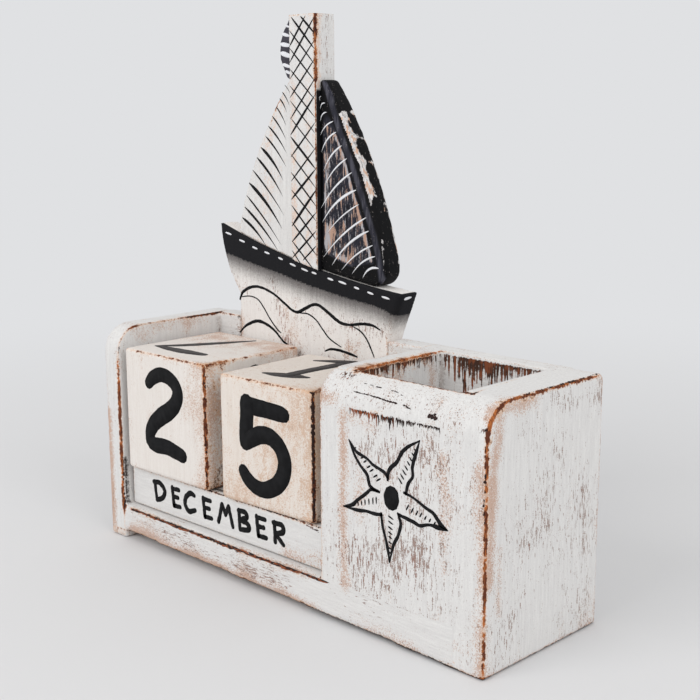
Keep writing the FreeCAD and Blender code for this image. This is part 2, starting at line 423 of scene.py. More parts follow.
def along(grain, across, length):
    """Noise size of a streak that runs along axis number grain."""
    size = [across] * 3
    size[grain] = length
    return size


# ---- how far a place is from the edges, worked out from its coordinates
ONE_SIDED = 1.8                  # a line keeps to the side where gaps count single


def box_gaps(r):
    """Distances from the box's arrises, for bare lines and for dark lines.

    The two lie on different sides of an arris: a gap measured across one of its
    faces counts almost double.
    """
    x, y, z = r.axis(0), r.axis(1), r.axis(2)
    fore = r.most(r.less(FRONT_Y + CORNER_ROUND, y), 0.0)
    over = r.most(r.less(z, WALL_TOP - CORNER_ROUND), 0.0)
    outline = r.less(CORNER_ROUND, r.hypotenuse(fore, over))
    right, left = r.less(x, RIGHT_END[1][0]), r.less(x, BAY_LEFT)
    doubled, far_right, far_left = [r.math("MULTIPLY", gap, ONE_SIDED)
                                    for gap in (outline, right, left)]
    middle = r.most(r.hypotenuse(r.less(x, BAY_RIGHT), outline), r.less(BASE_TOP, z))
    bare = r.least(r.hypotenuse(far_right, outline), r.hypotenuse(left, doubled), middle)
    dark = r.least(r.hypotenuse(right, doubled), r.hypotenuse(far_left, outline), middle)
    down = r.less(WALL_TOP, z)
    slope = (WELL_RIGHT - SWELL_LEFT) / (WALL_Y - WELL_FRONT)
    slant = r.add((y, -slope), (WELL_RIGHT + slope * WELL_FRONT, 1.0))
    well = r.most(r.less(WELL_LEFT, x), r.less(x, slant), r.less(WELL_FRONT, y),
                  r.less(y, WALL_Y))
    bay = r.most(r.less(BAY_LEFT, x), r.less(x, BAY_RIGHT), r.less(y, WALL_Y))
    rims = r.least(r.hypotenuse(well, down), r.hypotenuse(bay, down))
    behind = r.hypotenuse(right, r.less(BACK_Y, y))
    rise = (LEFT_LIFT - BASE[0][2]) / (BASE[1][0] - BAY_LEFT)
    foot = r.add((z, 1.0), (x, rise), (-LEFT_LIFT - rise * BAY_LEFT, 1.0))
    foot = r.most(foot, 0.0)
    return r.least(bare, rims, behind, foot), r.least(dark, rims, foot)


def block_gaps(r, node):
    """Distance from the nearest edge of a cube or a bar, the same for both lines."""
    low, high = corner_pair(node)
    middle = (low + high) / 2
    angle = math.radians(CUBE_TWISTS.get(node, 0.0))
    x, y, z = [r.less(r.axis(k), middle[k]) for k in range(3)]
    along_x = r.add((x, math.cos(angle)), (y, math.sin(angle)))
    along_y = r.add((x, -math.sin(angle)), (y, math.cos(angle)))
    half = np.full(3, CUBE_SIDES[node] / 2) if node in CUBE_SIDES else (high - low) / 2
    gaps = [r.less(reach, r.math("ABSOLUTE", value))
            for value, reach in zip((along_x, along_y, z), half)]
    farthest = r.most(*gaps)
    squares = r.add(*[(r.math("MULTIPLY", gap, gap), 1.0) for gap in gaps],
                    (r.math("MULTIPLY", farthest, farthest), -1.0))
    gap = r.math("SQRT", r.math("MAXIMUM", squares, 0.0))
    return gap, gap


ORANGE_WOOD = tint(178, 104, 54)
TAN_WOOD = tint(222, 184, 152)
BROWN_WOOD = tint(94, 48, 30)
DARK_WOOD = tint(44, 26, 22)
# dark smears of dirt, and painted shade in the gaps beside the cubes and on the front bar between
# them
GRIME_AND_SHADE = tint(58, 48, 44)
STAIN = tint(66, 44, 34)
INK = tint(18, 18, 22)
THIN_INK = tint(92, 88, 87)
PALE_FLECK = tint(142, 114, 102)
PALE_STAIN = tint(128, 72, 46)
# the brown-grey that inner corners are darkened towards
CORNER_TONE = tint(120, 92, 76)


class Wash(Recipe):
    """White paint over stained wood, with the noises that its layers share.

    fine and drag run along the grain; grit, ragged, broken and cloud are lumps
    from small to large, and patch is as large as lump says.
    """

    def __init__(self, name, grain, lump, shift):
        super().__init__(name, roughness=0.72, specular=0.2)
        self.shift = shift
        self.rub = self.stored("rub")
        self.fine = self.spread(along(grain, 0.36, 2.2), 3.0, shift)
        self.drag = self.spread(along(grain, 1.0, 16), 3.0, shift + 3)
        self.dash = self.spread(along(grain, 0.44, 3.2), 3.0, shift + 19)
        self.grit = self.spread((0.42, 0.42, 0.42), 2.0, shift + 5)
        self.ragged = self.spread((1.3, 1.3, 1.3), 3.0, shift + 13)
        self.broken = self.spread((4.0, 4.0, 4.0), 2.0, shift + 17)
        self.patch = self.spread(along(grain, lump, 2.2 * lump), 2.0, shift + 7)
        self.cloud = self.spread((26, 26, 26), 2.0, shift + 11)
        self.wood = self.mix(self.step(self.add((self.fine, 0.5), (self.broken, 0.5)), 0.3, 0.62),
                             ORANGE_WOOD, BROWN_WOOD)


def thin_places(r, tone, haze, colour):
    """Tan stipple where the wood comes through thin paint, in loose patches; on the cubes' right
    sides it is painted shade.
    """
    hazy = r.add((r.stored("haze"), 0.42), (r.rub, 0.34), (r.patch, 0.3), (r.cloud, 0.16),
                 (r.ragged, 0.12))
    tone = r.mix(r.step(hazy, 0.36 - haze, 0.9 - haze, 0.22), tone, colour)
    dots = r.add((hazy, 1.0), (r.grit, 0.55), (r.fine, 0.12))
    return r.mix(r.step(dots, 0.88 - haze, 1.08 - haze, 0.66), tone, colour)


def flecked(r, tone, flecks, colour):
    """Short dark flecks where the sawn grain was left unfilled."""
    fleck = r.add((r.dash, 0.62), (r.grit, 0.26), (r.cloud, 0.2), (r.patch, 0.14),
                  (r.ragged, 0.1), (r.stored("fleck"), 0.36))
    fleck = r.step(fleck, 0.94 - flecks, 1.1 - flecks, 0.85)
    hue = r.mix(r.step(r.patch, 0.3, 0.7), colour, PALE_FLECK)
    return r.mix(fleck, tone, hue), fleck


def bared(r, tone, edges):
    """Bare wood on the edges and in the worn places, dark at its core; on the cubes' right sides
    the stored places are painted shade.
    """
    places = r.stored("bared")
    worn = r.add((r.rub, 0.74 * edges), (r.ragged, 0.26), (r.broken, 0.28), (places, 0.5),
                 (r.grit, 0.24))
    tone = r.mix(r.step(worn, 0.8, 1.04, 0.75), tone, TAN_WOOD)
    bare = r.step(worn, 1.0, 1.1)
    tone = r.mix(bare, tone, r.wood)
    core = r.add((r.rub, 0.5 * edges), (r.ragged, 0.38), (r.broken, 0.4), (places, 0.25),
                 (r.grit, 0.1))
    return r.mix(r.step(core, 1.02, 1.12), tone, DARK_WOOD), bare


def lined(r, tone, gaps):
    """Brown lines with dark cracks along the arrises, as wide as is stored."""
    bare_gap, dark_gap = gaps(r)
    wander = r.add((r.ragged, 0.7), (r.broken, 0.6), (r.grit, 0.25), (-0.78, 1.0))
    reach = r.add((r.stored("line"), 1.0), (wander, 1.0), (bare_gap, -1.0))
    tone = r.mix(r.step(reach, -0.6, 0.3, 0.45), tone, TAN_WOOD)
    tone = r.mix(r.step(reach, 0.1, 0.4), tone, r.wood)
    wander = r.add((r.spread((1.0, 1.0, 1.0), 3.0, r.shift + 29), 0.8), (r.broken, -0.5),
                   (r.fine, 0.3), (-0.3, 1.0))
    reach = r.add((r.stored("crack"), 1.0), (wander, 1.0), (dark_gap, -1.0))
    return r.mix(r.step(reach, 0.35, 0.65), tone, DARK_WOOD)


def scraped_and_soiled(r, tone):
    """Dark scrapes along the grain, a darker tone in inner corners, and black smears, partly
    painted shade.
    """
    scraped = r.step(r.add((r.stored("scuff"), 0.95), (r.fine, 0.36), (r.ragged, 0.26)), 0.84, 1.0)
    tone = r.mix(scraped, tone, r.mix(r.step(r.ragged, 0.3, 0.6), BROWN_WOOD, DARK_WOOD))
    # inner corners, where nook is high, are darkened by up to half
    corner_darkening = r.add((r.stored("nook"), 0.8), (r.ragged, 0.25), (r.grit, 0.2))
    tone = r.mix(r.step(corner_darkening, 0.45, 1.0, 0.5), tone, CORNER_TONE)
    # the smears are both dirt and painted shade: dark on the cubes' right sides and on the front
    # bar between the cubes
    smear_and_shade = r.add((r.stored("grime_and_shade"), 0.8), (r.ragged, 0.3), (r.grit, 0.25), (r.drag, 0.2))
    return r.mix(r.step(smear_and_shade, 0.75, 1.15), tone, GRIME_AND_SHADE), scraped


def stained(r, tone):
    """Brown stain running down under the box's top edges, left unpainted."""
    drips = r.spread((0.8, 0.8, 12), 4.0, r.shift + 23)
    stain = r.add((r.stored("stain"), 1.0), (drips, 0.75), (r.ragged, 0.2))
    clean = r.step(r.add((r.axis(2), 1.0), (r.ragged, 0.8)), WALL_TOP - 0.9, WALL_TOP - 0.6)
    brown = r.mix(r.step(r.add((r.broken, 0.5), (drips, 0.6)), 0.5, 0.85), STAIN, PALE_STAIN)
    return r.mix(r.math("MULTIPLY", r.step(stain, 0.94, 1.08), r.less(1.0, clean)), tone, brown)


def inked(r, tone):
    """Black brush paint over the wash, thin where little is stored."""
    cover = r.add((r.stored("ink"), 1.0), (r.drag, 0.06), (r.grit, 0.12), (r.ragged, 0.05))
    tone = r.mix(r.step(cover, 0.1, 0.95, 0.92), tone, THIN_INK)
    return r.mix(r.step(cover, 0.9, 1.1), tone, INK)


def washed_wood(name, grain=2, paint=(232, 231, 229), shade=(208, 206, 205), flecks=0.0,
                haze=0.0, edges=0.6, shift=0.0, haze_colour=(188, 144, 116),
                fleck_colour=(132, 84, 64), lump=7.0, ink=False, gaps=None):
    """White paint over stained wood, rubbed through at the edges.

    The stored values steer it: rub at outer edges, nook in corners, and the
    WEAR values.  flecks and haze raise or lower the share of the face that
    shows wood, lump is the size of its patches and edges the strength of the
    rubbing.
    """
    r = Wash(name, grain, lump, shift)
    tone = r.mix(r.add((r.drag, 0.4), (r.grit, 0.3), (r.fine, 0.25)), tint(*paint), tint(*shade))
    tone = thin_places(r, tone, haze, tint(*haze_colour))
    tone, fleck = flecked(r, tone, flecks, tint(*fleck_colour))
    tone, bare = bared(r, tone, edges)
    if gaps:
        tone = lined(r, tone, gaps)
    tone, scraped = scraped_and_soiled(r, tone)
    tone = stained(r, tone)
    if ink:
        tone = inked(r, tone)
    height = r.add((fleck, -0.7), (bare, -0.8), (scraped, -0.8), (r.drag, 0.35), (r.fine, 0.25),
                   (r.grit, 0.2))
    return r.finish(tone, height, 0.12)


def plain_paint(name, colour, worn_colour, gaps=0.0, roughness=0.55, shift=0.0):
    """Brush paint with a slight unevenness and, with gaps, dry-brush holes."""
    r = Recipe(name, roughness=roughness, specular=0.15)
    grit = r.noise((0.25, 0.25, 0.25), 2.0, shift)
    cloud = r.noise((3, 3, 3), 2.0, shift + 2)
    tone = r.mix(r.step(cloud, 0.3, 0.75), tint(*colour), tint(*[c + 10 for c in colour]))
    speck = r.step(r.add((grit, 1.0), (cloud, 0.3)), 0.96 - gaps, 1.02 - gaps)
    return r.finish(r.mix(speck, tone, tint(*worn_colour)), grit, 0.04)


def metal_finish(name, colour):
    r = Recipe(name, roughness=0.35, specular=0.5)
    r.shader.inputs["Metallic"].default_value = 1.0
    scratch = r.noise((0.2, 0.2, 2.0), 2.0)
    tone = r.mix(scratch, tint(*colour), tint(*[int(c * 0.7) for c in colour]))
    return r.finish(tone, scratch, 0.02)


def bare_wood(name, light, dark):
    r = Recipe(name, roughness=0.7, specular=0.25)
    rings = r.noise(along(2, 0.6, 9), 3.0)
    tone = r.mix(r.step(rings, 0.35, 0.65), tint(*light), tint(*dark))
    return r.finish(tone, rings, 0.05)


# ---------------------------------------------------------------- the box
OVERLAP = 0.4                    # boards run this far into each other before evening
ROUND_STEPS = 10


def quarter(centre, radius, start, stop):
    """Points of an arc between two angles, in degrees."""
    angles = np.radians(np.linspace(start, stop, ROUND_STEPS))
    return [(centre[0] + radius * math.cos(a), centre[1] + radius * math.sin(a))
            for a in angles]


def side_outline(foot, back, back_round):
    """Outline of an upright board seen from the end, as (y, z) points."""
    front_arc = quarter((FRONT_Y + CORNER_ROUND, WALL_TOP - CORNER_ROUND), CORNER_ROUND, 180, 90)
    outline = [(FRONT_Y, foot)] + front_arc
    if back_round:
        outline += quarter((back - back_round, WALL_TOP - back_round), back_round, 90, 0)
    else:
        outline.append((back, WALL_TOP))
    return outline + [(back, foot)]


def box_blank():
    """The six boards of the box, as closed shapes that run into each other."""
    join = OVERLAP
    notch = [(HULL_TONGUE[0], WALL_TOP), (HULL_TONGUE[0], HULL_FOOT),
             (HULL_TONGUE[1], HULL_FOOT), (HULL_TONGUE[1], WALL_TOP)]
    low_left = (BAY_LEFT - join, LEFT_LIFT)
    low_right = (WELL_RIGHT + join, BASE[0][2])
    back_outline = ([low_left, (BAY_LEFT - join, WALL_TOP)] + notch
                    + [(WELL_RIGHT + join, WALL_TOP), low_right])
    rail = [low_left, (BAY_LEFT - join, BASE_TOP), (WELL_RIGHT + join, BASE_TOP), low_right]
    pen_front = side_outline(BASE_TOP - join, WALL_Y + join, 0)
    pen_front = [(min(y, WELL_FRONT), z) for y, z in pen_front]
    parts = [
        prism(side_outline(0, BACK_Y, BACK_ROUND), 0, LEFT_END[0][0], LEFT_END[1][0]),
        prism(side_outline(0, BACK_Y, BACK_ROUND), 0, RIGHT_END[0][0], RIGHT_END[1][0]),
        prism(side_outline(BASE_TOP - join, WALL_Y + join, 0), 0, BAY_RIGHT, WELL_LEFT),
        prism(pen_front, 0, WELL_LEFT - join, WELL_RIGHT + join),
        prism(back_outline, 1, WALL_Y, BACK_Y),
        prism(rail, 1, FRONT_Y, WALL_Y + join),
        prism([(WELL_RIGHT + join, WELL_FRONT), (WELL_RIGHT + join, WALL_Y + join),
               (SWELL_LEFT, WALL_Y + join), (SWELL_LEFT, WALL_Y)], 2, BASE_TOP - join, WALL_TOP),
    ]
    return joined("box", parts)


def near_stroke(points, start, stop, radius):
    """1 along a straight stroke between two places, falling to 0 at radius."""
    start = np.asarray(start, float)
    run = np.asarray(stop, float) - start
    share = np.clip((points - start) @ run / max(run @ run, 1e-9), 0, 1)
    gap = np.linalg.norm(points - start - share[:, None] * run, axis=1)
    return np.clip(1 - gap / radius, 0, 1)


WEAR = ("scuff", "bared", "line", "crack", "haze", "fleck", "grime_and_shade", "stain")
BEHIND_SHARE = 0.25              # how much of a stroke reaches a face that looks back

# worn places on the box by kind: start, end, reach and strength
BOX_WEAR = {
    "scuff": [
        ((-82.5, -30, 14), (-70.9, -30, 13.2), 1.8, 0.75),
        ((-70.9, -30, 13.4), (-43.6, -30, 13.0), 2.0, 0.85),
        ((-43.6, -30, 13.2), (-15.1, -30, 12.6), 1.8, 0.85),
        ((-15.1, -30, 12.7), (22, -30, 13.3), 1.5, 0.75),
        ((93.3, -30, 76.8), (95, -29.6, 77.6), 2.2, 1.0),
        ((94.6, -30, 79), (95, -30, 62), 1.3, 0.9),
        ((-85.5, 20.6, 60), (-85.5, 20.8, 84), 1.6, 0.8),
    ],
    "bared": [
        ((-80, -30, 3.6), (20, -30, 1.8), 1.5, 0.9),
        ((34.5, -20, 84), (34.5, 12, 84), 9.0, 1.3),
        ((35.2, -30, 14.4), (35.2, -30, 30), 1.3, 0.8),
        ((91.5, -30, 16), (91.9, -30, 15.2), 0.9, 1.0),
        ((90.8, -30, 8.8), (91.2, -30, 7.8), 0.9, 1.0),
        ((27, -30, 14), (28, -30, 13.6), 1.3, 1.0),
        ((77, -30, 12.3), (78.3, -30, 11), 1.6, 0.8),
        ((83, -30, 5.2), (84, -30, 2.8), 1.8, 0.9),
        ((95, -24, 82), (95, -8, 83.6), 2.6, 0.9),
        ((95, -28.6, 44), (95, -28.8, 72), 1.7, 0.8),
        ((95, -28.6, 72), (95, -24, 81.5), 2.4, 0.95),
        ((88, -26, 83), (94, -22, 84.6), 2.0, 0.8),
        ((42, -30, 70), (46, -30, 71), 1.8, 0.5),
        ((40.5, -29.9, 75), (53, -29.9, 74.9), 1.5, 0.9),
        ((-81, -30, 12.9), (-15, -30, 12.2), 1.5, 0.85),
        ((-15, -30, 12.2), (23, -30, 12.7), 1.2, 0.8),
    ],
    "line": [
        ((95, -30, 0), (95, -30, 74), 6.0, 2.05),
        ((95, -30, 74), (95, -26, 82), 6.0, 2.2),
        ((95, -26, 82), (95, -16, 85), 6.0, 1.9),
        ((95, -16, 85), (95, 28, 85), 5.0, 1.9),
        ((95, 30, 84), (95, 30, 50), 5.0, 1.3),
        ((95, 30, 50), (95, 30, 0), 5.0, 0.9),
        ((-85.5, -30, 14), (-85.5, -30, 70), 6.0, 2.1),
        ((-85.5, -30, 70), (-85.5, -22, 84), 5.0, 1.8),
        ((-85.5, -22, 85), (-85.5, 6, 85), 5.0, 0.8),
        ((-85.5, 6, 85), (-85.5, 21, 85), 5.0, 1.4),
        ((-85.5, 21, 85), (-70, 21, 85), 5.0, 1.0),
        ((25.5, -30, 16), (25.5, -30, 74), 4.0, 1.5),
        ((25.5, -30, 74), (25.5, -16, 85), 5.0, 1.1),
        ((25.5, -16, 85), (25.5, 19, 85), 4.0, 0.7),
        ((28, -21.6, 85), (83, -21.6, 85), 5.0, 1.2),
        ((34.5, -20, 85), (34.5, 18, 85), 5.0, 1.4),
        ((-80, -30, 3.3), (20, -30, 1.4), 4.0, 1.2),
        ((20, -30, 1.4), (95, -30, 0), 4.0, 0.9),
        ((95, -30, 0), (95, 30, 0), 4.0, 0.8),
    ],
    "crack": [
        ((95, -30, 0), (95, -30, 50), 5.0, 1.3),
        ((95, -30, 50), (95, -30, 76), 5.0, 1.9),
        ((95, -30, 74), (95, -24, 84), 5.0, 1.15),
        ((95, -24, 84), (95, -6, 85), 4.0, 1.0),
        ((95, -10, 85), (95, 29, 85), 5.0, 1.75),
        ((-85.5, -30, 14), (-85.5, -30, 44), 5.0, 1.7),
        ((-85.5, -30, 44), (-85.5, -30, 80), 4.0, 1.5),
        ((-85.5, 4, 85), (-85.5, 21, 85), 4.0, 1.5),
        ((-85.5, 21, 85), (-68, 21, 85), 4.0, 0.9),
        ((25.5, -30, 14), (25.5, -30, 60), 4.0, 1.1),
        ((34.5, -21.6, 85), (83, -21.6, 85), 4.0, 1.15),
        ((-80, -30, 3.3), (20, -30, 1.4), 4.0, 1.0),
        ((20, -30, 1.4), (84, -30, 0), 4.0, 1.7),
        ((84, -30, 0), (95, -30, 0), 4.0, 1.0),
        ((95, -30, 0), (95, 30, 0), 4.0, 1.2),
    ],
    "haze": [
        ((36.8, -30, 14), (36.8, -30, 72), 4.5, 1.25),
        ((38, -30, 72), (50, -30, 70), 5.0, 0.7),
        ((44, -30, 58), (44, -30, 30), 8.0, 0.45),
        ((79, -30, 30), (79, -30, 66), 4.0, 0.55),
        ((92.5, -30, 3), (92.5, -30, 66), 3.5, 0.5),
        ((95, -28, 30), (95, -26, 62), 5.0, 1.2),
        ((95, -27, 60), (95, -23, 80), 4.0, 1.0),
        ((95, -23, 20), (95, -23, 40), 4.0, 0.6),
        ((95, -27, 82), (95, -8, 82), 4.5, 1.0),
        ((-93, -30, 5), (-93, -30, 50), 3.5, 1.0),
        ((-85.5, -20, 82), (-85.5, 15, 82), 6.0, 0.6),
        ((34.5, -15, 82), (34.5, 8, 70), 9.0, 1.2),
        ((34.5, 14, 85), (34.5, 18, 60), 5.0, 0.7),
        ((60, -30, 5), (90, -30, 8), 8.0, 0.45),
        ((-80, -30, 5), (22, -30, 3), 6.0, 0.75),
        ((26, -30, 76), (34, -30, 76), 4.0, 0.7),
    ],
    "fleck": [
        ((42, -30, 26), (70, -30, 32), 19.0, 0.95),
        ((46, -30, 62), (72, -30, 66), 12.0, 0.55),
        ((66, -30, 50), (74, -30, 52), 8.0, 0.6),
        ((34, -30, 80), (80, -30, 80), 6.0, 0.3),
        ((95, -12, 18), (95, 2, 66), 24.0, 0.5),
        ((95, 14, 10), (95, 20, 50), 14.0, 0.4),
        ((95, -20, 8), (95, -12, 22), 9.0, 0.6),
        ((95, 4, 80), (95, 27, 77), 8.0, 0.8),
        ((-78, 21, 70), (-70, 21, 82), 9.0, 0.7),
        ((-60, -30, 8), (10, -30, 6), 6.0, 0.6),
    ],
    "grime_and_shade": [
        ((-85.5, -28, 15), (-85.5, -28, 32), 3.2, 0.95),
        ((-73.7, 21, 84.4), (-71.5, 21, 84.2), 1.6, 1.0),
        ((91, -30, 77), (95, -30, 75), 2.0, 0.6),
        ((34.5, 20, 78), (36, 21, 40), 5.0, 0.5),
    ],
    "stain": [
        ((36, 21, 85), (38, 21, 85), 2.6, 0.9),
        ((42.5, 21, 86), (79, 21, 86), 6.0, 1.25),
        ((43.5, 21, 86), (56, 21, 86), 17.0, 1.0),
        ((56, 21, 86), (68, 21, 86), 11.0, 0.95),
        ((68, 21, 86), (79, 21, 86), 6.5, 0.95),
        ((44, 21, 80), (47, 21, 60), 3.5, 0.72),
        ((34.5, -21, 86), (34.5, 14, 86), 9.0, 0.95),
        ((95, -14, 85), (95, 30, 85), 2.6, 0.8),
    ],
}


def set_wear(mesh, places):
    """Stores how strong each kind of wear is, from lists of strokes by kind.

    The strokes are laid on the front, and hardly reach a face that looks back.
    """
    points = positions(mesh)
    behind = normals(mesh)[:, 1] > 0.5
    for kind in WEAR:
        value = strokes_value(points, places.get(kind, ()))
        if kind not in ("line", "crack"):
            value = np.where(behind, BEHIND_SHARE * value, value)
        set_values(mesh, kind, value)


def strokes_value(points, strokes):
    total = np.zeros(len(points))
    for start, stop, radius, strength in strokes:
        total = np.maximum(total, strength * near_stroke(points, start, stop, radius))
    return total


def make_box():
    box = worn(box_blank(), "box", FACE_INSET)
    set_wear(box, BOX_WEAR)
    upright = washed_wood("washed_boards_upright", gaps=box_gaps)
    lengthways = washed_wood("washed_boards_lengthways", grain=0, shift=31, gaps=box_gaps)
    left, rest = split(box, 0, BAY_LEFT)
    rest, right = split(rest, 0, WELL_RIGHT)
    rest, back = split(rest, 1, WALL_Y)
    rail, rest = split(rest, 2, BASE_TOP)
    divider, rest = split(rest, 0, WELL_LEFT)
    pen_front, swell = split(rest, 1, WELL_FRONT)
    right = gathered("right_end", [right, swell])
    boards = [
        ("washed_left_end", left, upright, "left_end_board"),
        ("washed_right_end", right, upright, "right_end_board"),
        ("washed_back", back, lengthways, "back_board"),
        ("washed_base", rail, lengthways, "base_board"),
        ("washed_divider", divider, upright, "pen_divider"),
        ("washed_pen_front", pen_front, upright, "pen_front_board"),
    ]
    for name, mesh, material, node in boards:
        finished(name, mesh, BOX, material, "whitewashed_board", node)


# ---------------------------------------------------------------- copies of CAD solids
def copied(node):
    """A clean, joined-up copy of a CAD node's mesh."""
    bm = bmesh.new()
    bm.from_mesh(NODES[node].data)
    bmesh.ops.remove_doubles(bm, verts=bm.verts, dist=1e-6)
    mesh = bpy.data.meshes.new(node + "_copy")
    bm.to_mesh(mesh)
    bm.free()
    return mesh


def worn_copy(node, places, kind=None):
    """A worn copy of a CAD node, with the wear of its kind or of its own."""
    mesh = worn(copied(node), kind or node, COPY_INSET)
    set_wear(mesh, places)
    return mesh


# lower edge of the black band under the gunwale, as (x, z), and its fade
BAND_X = (-83.5, -80.3, -65.6, -47.9, -31.1, -9.8, 5.4, 16.0)
BAND_Z = (112.6, 110.2, 107.4, 104.6, 101.4, 98.6, 97.2, 96.2)
BAND_FADE = 11.5
BAND_ROOT = 0.95                 # strength of the fade just under the band
BAND_END = 16.0                  # over this length at the stern it hangs lower,
BAND_SAG = 3.0                   # by this much at its end
FULL_INK = 1.4


def hull_ink(mesh):
    """How thick the black paint is: solid in the band, thinning out below it."""
    points = positions(mesh)
    facing = normals(mesh)
    end = np.clip((points[:, 0] - HULL[1][0] + BAND_END) / BAND_END, 0, 1) ** 2
    below = np.interp(points[:, 0], BAND_X, BAND_Z) - BAND_SAG * end - points[:, 2]
    left = np.clip(1 - below / BAND_FADE, 0, 1)
    ink = np.where(below < 0, FULL_INK, BAND_ROOT * left ** 1.5)
    deck = (facing[:, 2] > 0.55) & (points[:, 1] > WALL_Y + 1.0)
    hidden = (deck & (points[:, 0] < HULL[1][0] - 1.0)) | (facing[:, 1] > 0.7)
    set_values(mesh, "ink", np.where(hidden, 0, np.clip(ink, 0, FULL_INK)))


HULL_WEAR = {
    "fleck": [((-70, 21, 92), (-5, 21, 82), 12.0, 0.3), ((-52, 21, 100), (-40, 21, 66), 6.0, 0.95),
              ((-38, 21, 66), (4, 21, 66), 13.0, 1.25), ((-12, 21, 88), (6, 21, 88), 5.0, 0.9)],
    "haze": [((-72, 21, 84), (-72, 21, 60), 4.0, 1.0), ((-45, 21, 90), (-40, 21, 70), 8.0, 0.6),
             ((-10, 21, 80), (5, 21, 70), 7.0, 0.7)],
    "bared": [((-79, 21, 104), (-72.4, 21, 91), 1.1, 1.3), ((9, 21, 64), (9.5, 21, 86), 1.2, 0.6)],
    "grime_and_shade": [((9.4, 21, 88), (14, 21, 100), 1.2, 0.7)],
}
MAST_WEAR = {
    "bared": [((-25.5, 19.5, 110), (-25.5, 19.5, 178), 1.3, 1.5),
              ((-25.5, 19.8, 178), (-25.5, 19.8, 200), 2.8, 1.6),
              ((-38, 19.5, 200.6), (-25.5, 19.5, 200.6), 1.0, 0.9)],
    "haze": [((-37.5, 19.5, 112), (-37.5, 19.5, 178), 3.0, 0.8),
             ((-30, 19.5, 112), (-30, 19.5, 178), 6.0, 0.6),
             ((-25.5, 21, 176), (-25.5, 21, 200), 2.5, 1.0)],
    "fleck": [((-25.5, 26, 180), (-25.5, 26, 200), 7.0, 0.75)],
}
LEFT_SAIL_WEAR = {
    "haze": [((-45, 21.5, 170), (-55, 21.5, 152), 3.5, 0.9),
             ((-60, 21.5, 120), (-50, 21.5, 146), 9.0, 0.5)],
    "bared": [((-46, 21.5, 173), (-53, 21.5, 160), 0.9, 0.9)],
}

# the pennant's free edge, as (x, z) from its top down
PENNANT_EDGE = [(-40.6, 200.7), (-42.5, 198.0), (-44.5, 195.4), (-46.2, 191.6), (-46.5, 188.7),
                (-46.4, 185.3), (-44.9, 182.4), (-42.9, 178.5), (-41.3, 177.7)]

# the right sail: right border of the streaky field, and the leech's inner and
# outer line, as x at each height z; from the inner line a band of painted sheen
# runs outwards, grey where a bevel on the leech would catch the light
FIELD_Z = (104.0, 111.8, 122.4, 132.9, 140.0, 150.6, 161.2, 171.2, 178.0)
FIELD_X = (4.0, 2.4, -1.5, -5.5, -8.5, -12.5, -18.0, -24.1, -27.0)
SHEEN_Z = (104.0, 113.0, 122.5, 140.0, 150.6, 159.4, 173.7, 178.0)
SHEEN_X = (4.2, 2.9, 0.0, -7.5, -12.5, -17.0, -23.1, -25.0)
SHEEN_WIDTH = 2.6
LEECH_Z = (104.0, 113.2, 124.6, 133.3, 142.0, 156.0, 163.0, 167.3, 169.8, 173.0)
LEECH_X = (6.6, 6.4, 4.9, 2.0, -2.5, -8.9, -12.4, -14.4, -17.9, -19.5)
SAIL_FOOT_X = (-25.5, -18.0, -10.2, 2.4, 8.0)
SAIL_FOOT_Z = (114.0, 111.9, 109.6, 111.8, 114.0)
FIELD_LEFT = -24.0
FIELD_TOP = 166.0
BORDER_TOP = 158.0               # the field's right border is paler up to here
# places in the streaky field where more wood shows
FIELD_PATCHES = [((-23, 21.5, 117), (-21, 21.5, 122), 4.0, 1.0),
                 ((-17, 21.5, 113), (-12, 21.5, 112), 3.0, 0.8),
                 ((-23, 21.5, 130), (-22, 21.5, 150), 2.5, 0.5)]
# the sail's edge is bare between these heights, but for black blots at (y, z)
EDGE_BARE = (127.5, 166.5)
EDGE_BLOTS = [((26.8, 162.0), (27.0, 160.0), 4.1), ((26.0, 153.6), (27.0, 151.0), 4.0),
              ((26.6, 145.0), (27.2, 137.0), 3.9), ((24.4, 134.0), (24.0, 131.0), 3.0)]
# heights between which its front and back arrises are rubbed
RIM_SPAN = (110, 168)
BACK_SPAN = (112, 158)

HULL_LOOK = {"shift": 41, "ink": True, "edges": 0.85, "lump": 4.0, "haze": 0.02,
             "flecks": -0.03, "fleck_colour": (150, 88, 68), "paint": (240, 237, 234),
             "shade": (226, 221, 217)}
MAST_LOOK = {"shift": 53, "ink": True, "edges": 0.35, "lump": 1.8, "flecks": -0.1,
             "haze_colour": (222, 188, 166)}
SAIL_LOOK = {"shift": 61, "edges": 1.0, "lump": 1.5, "flecks": -0.12, "haze": -0.04,
             "haze_colour": (222, 190, 168)}


def mast_ink(mesh):
    """Black down the mast's right side, below the top of the right sail."""
    points = positions(mesh)
    side = np.clip((points[:, 0] - (MAST[1][0] - 0.35)) / 0.3, 0, 1)
    front = np.clip((points[:, 1] - (MAST[0][1] + 0.3)) / 0.3, 0, 1)
    low = np.clip((RIGHT_SAIL[1][2] - 3 - points[:, 2]) / 1.5, 0, 1)
    set_values(mesh, "ink", FULL_INK * side * front * low)


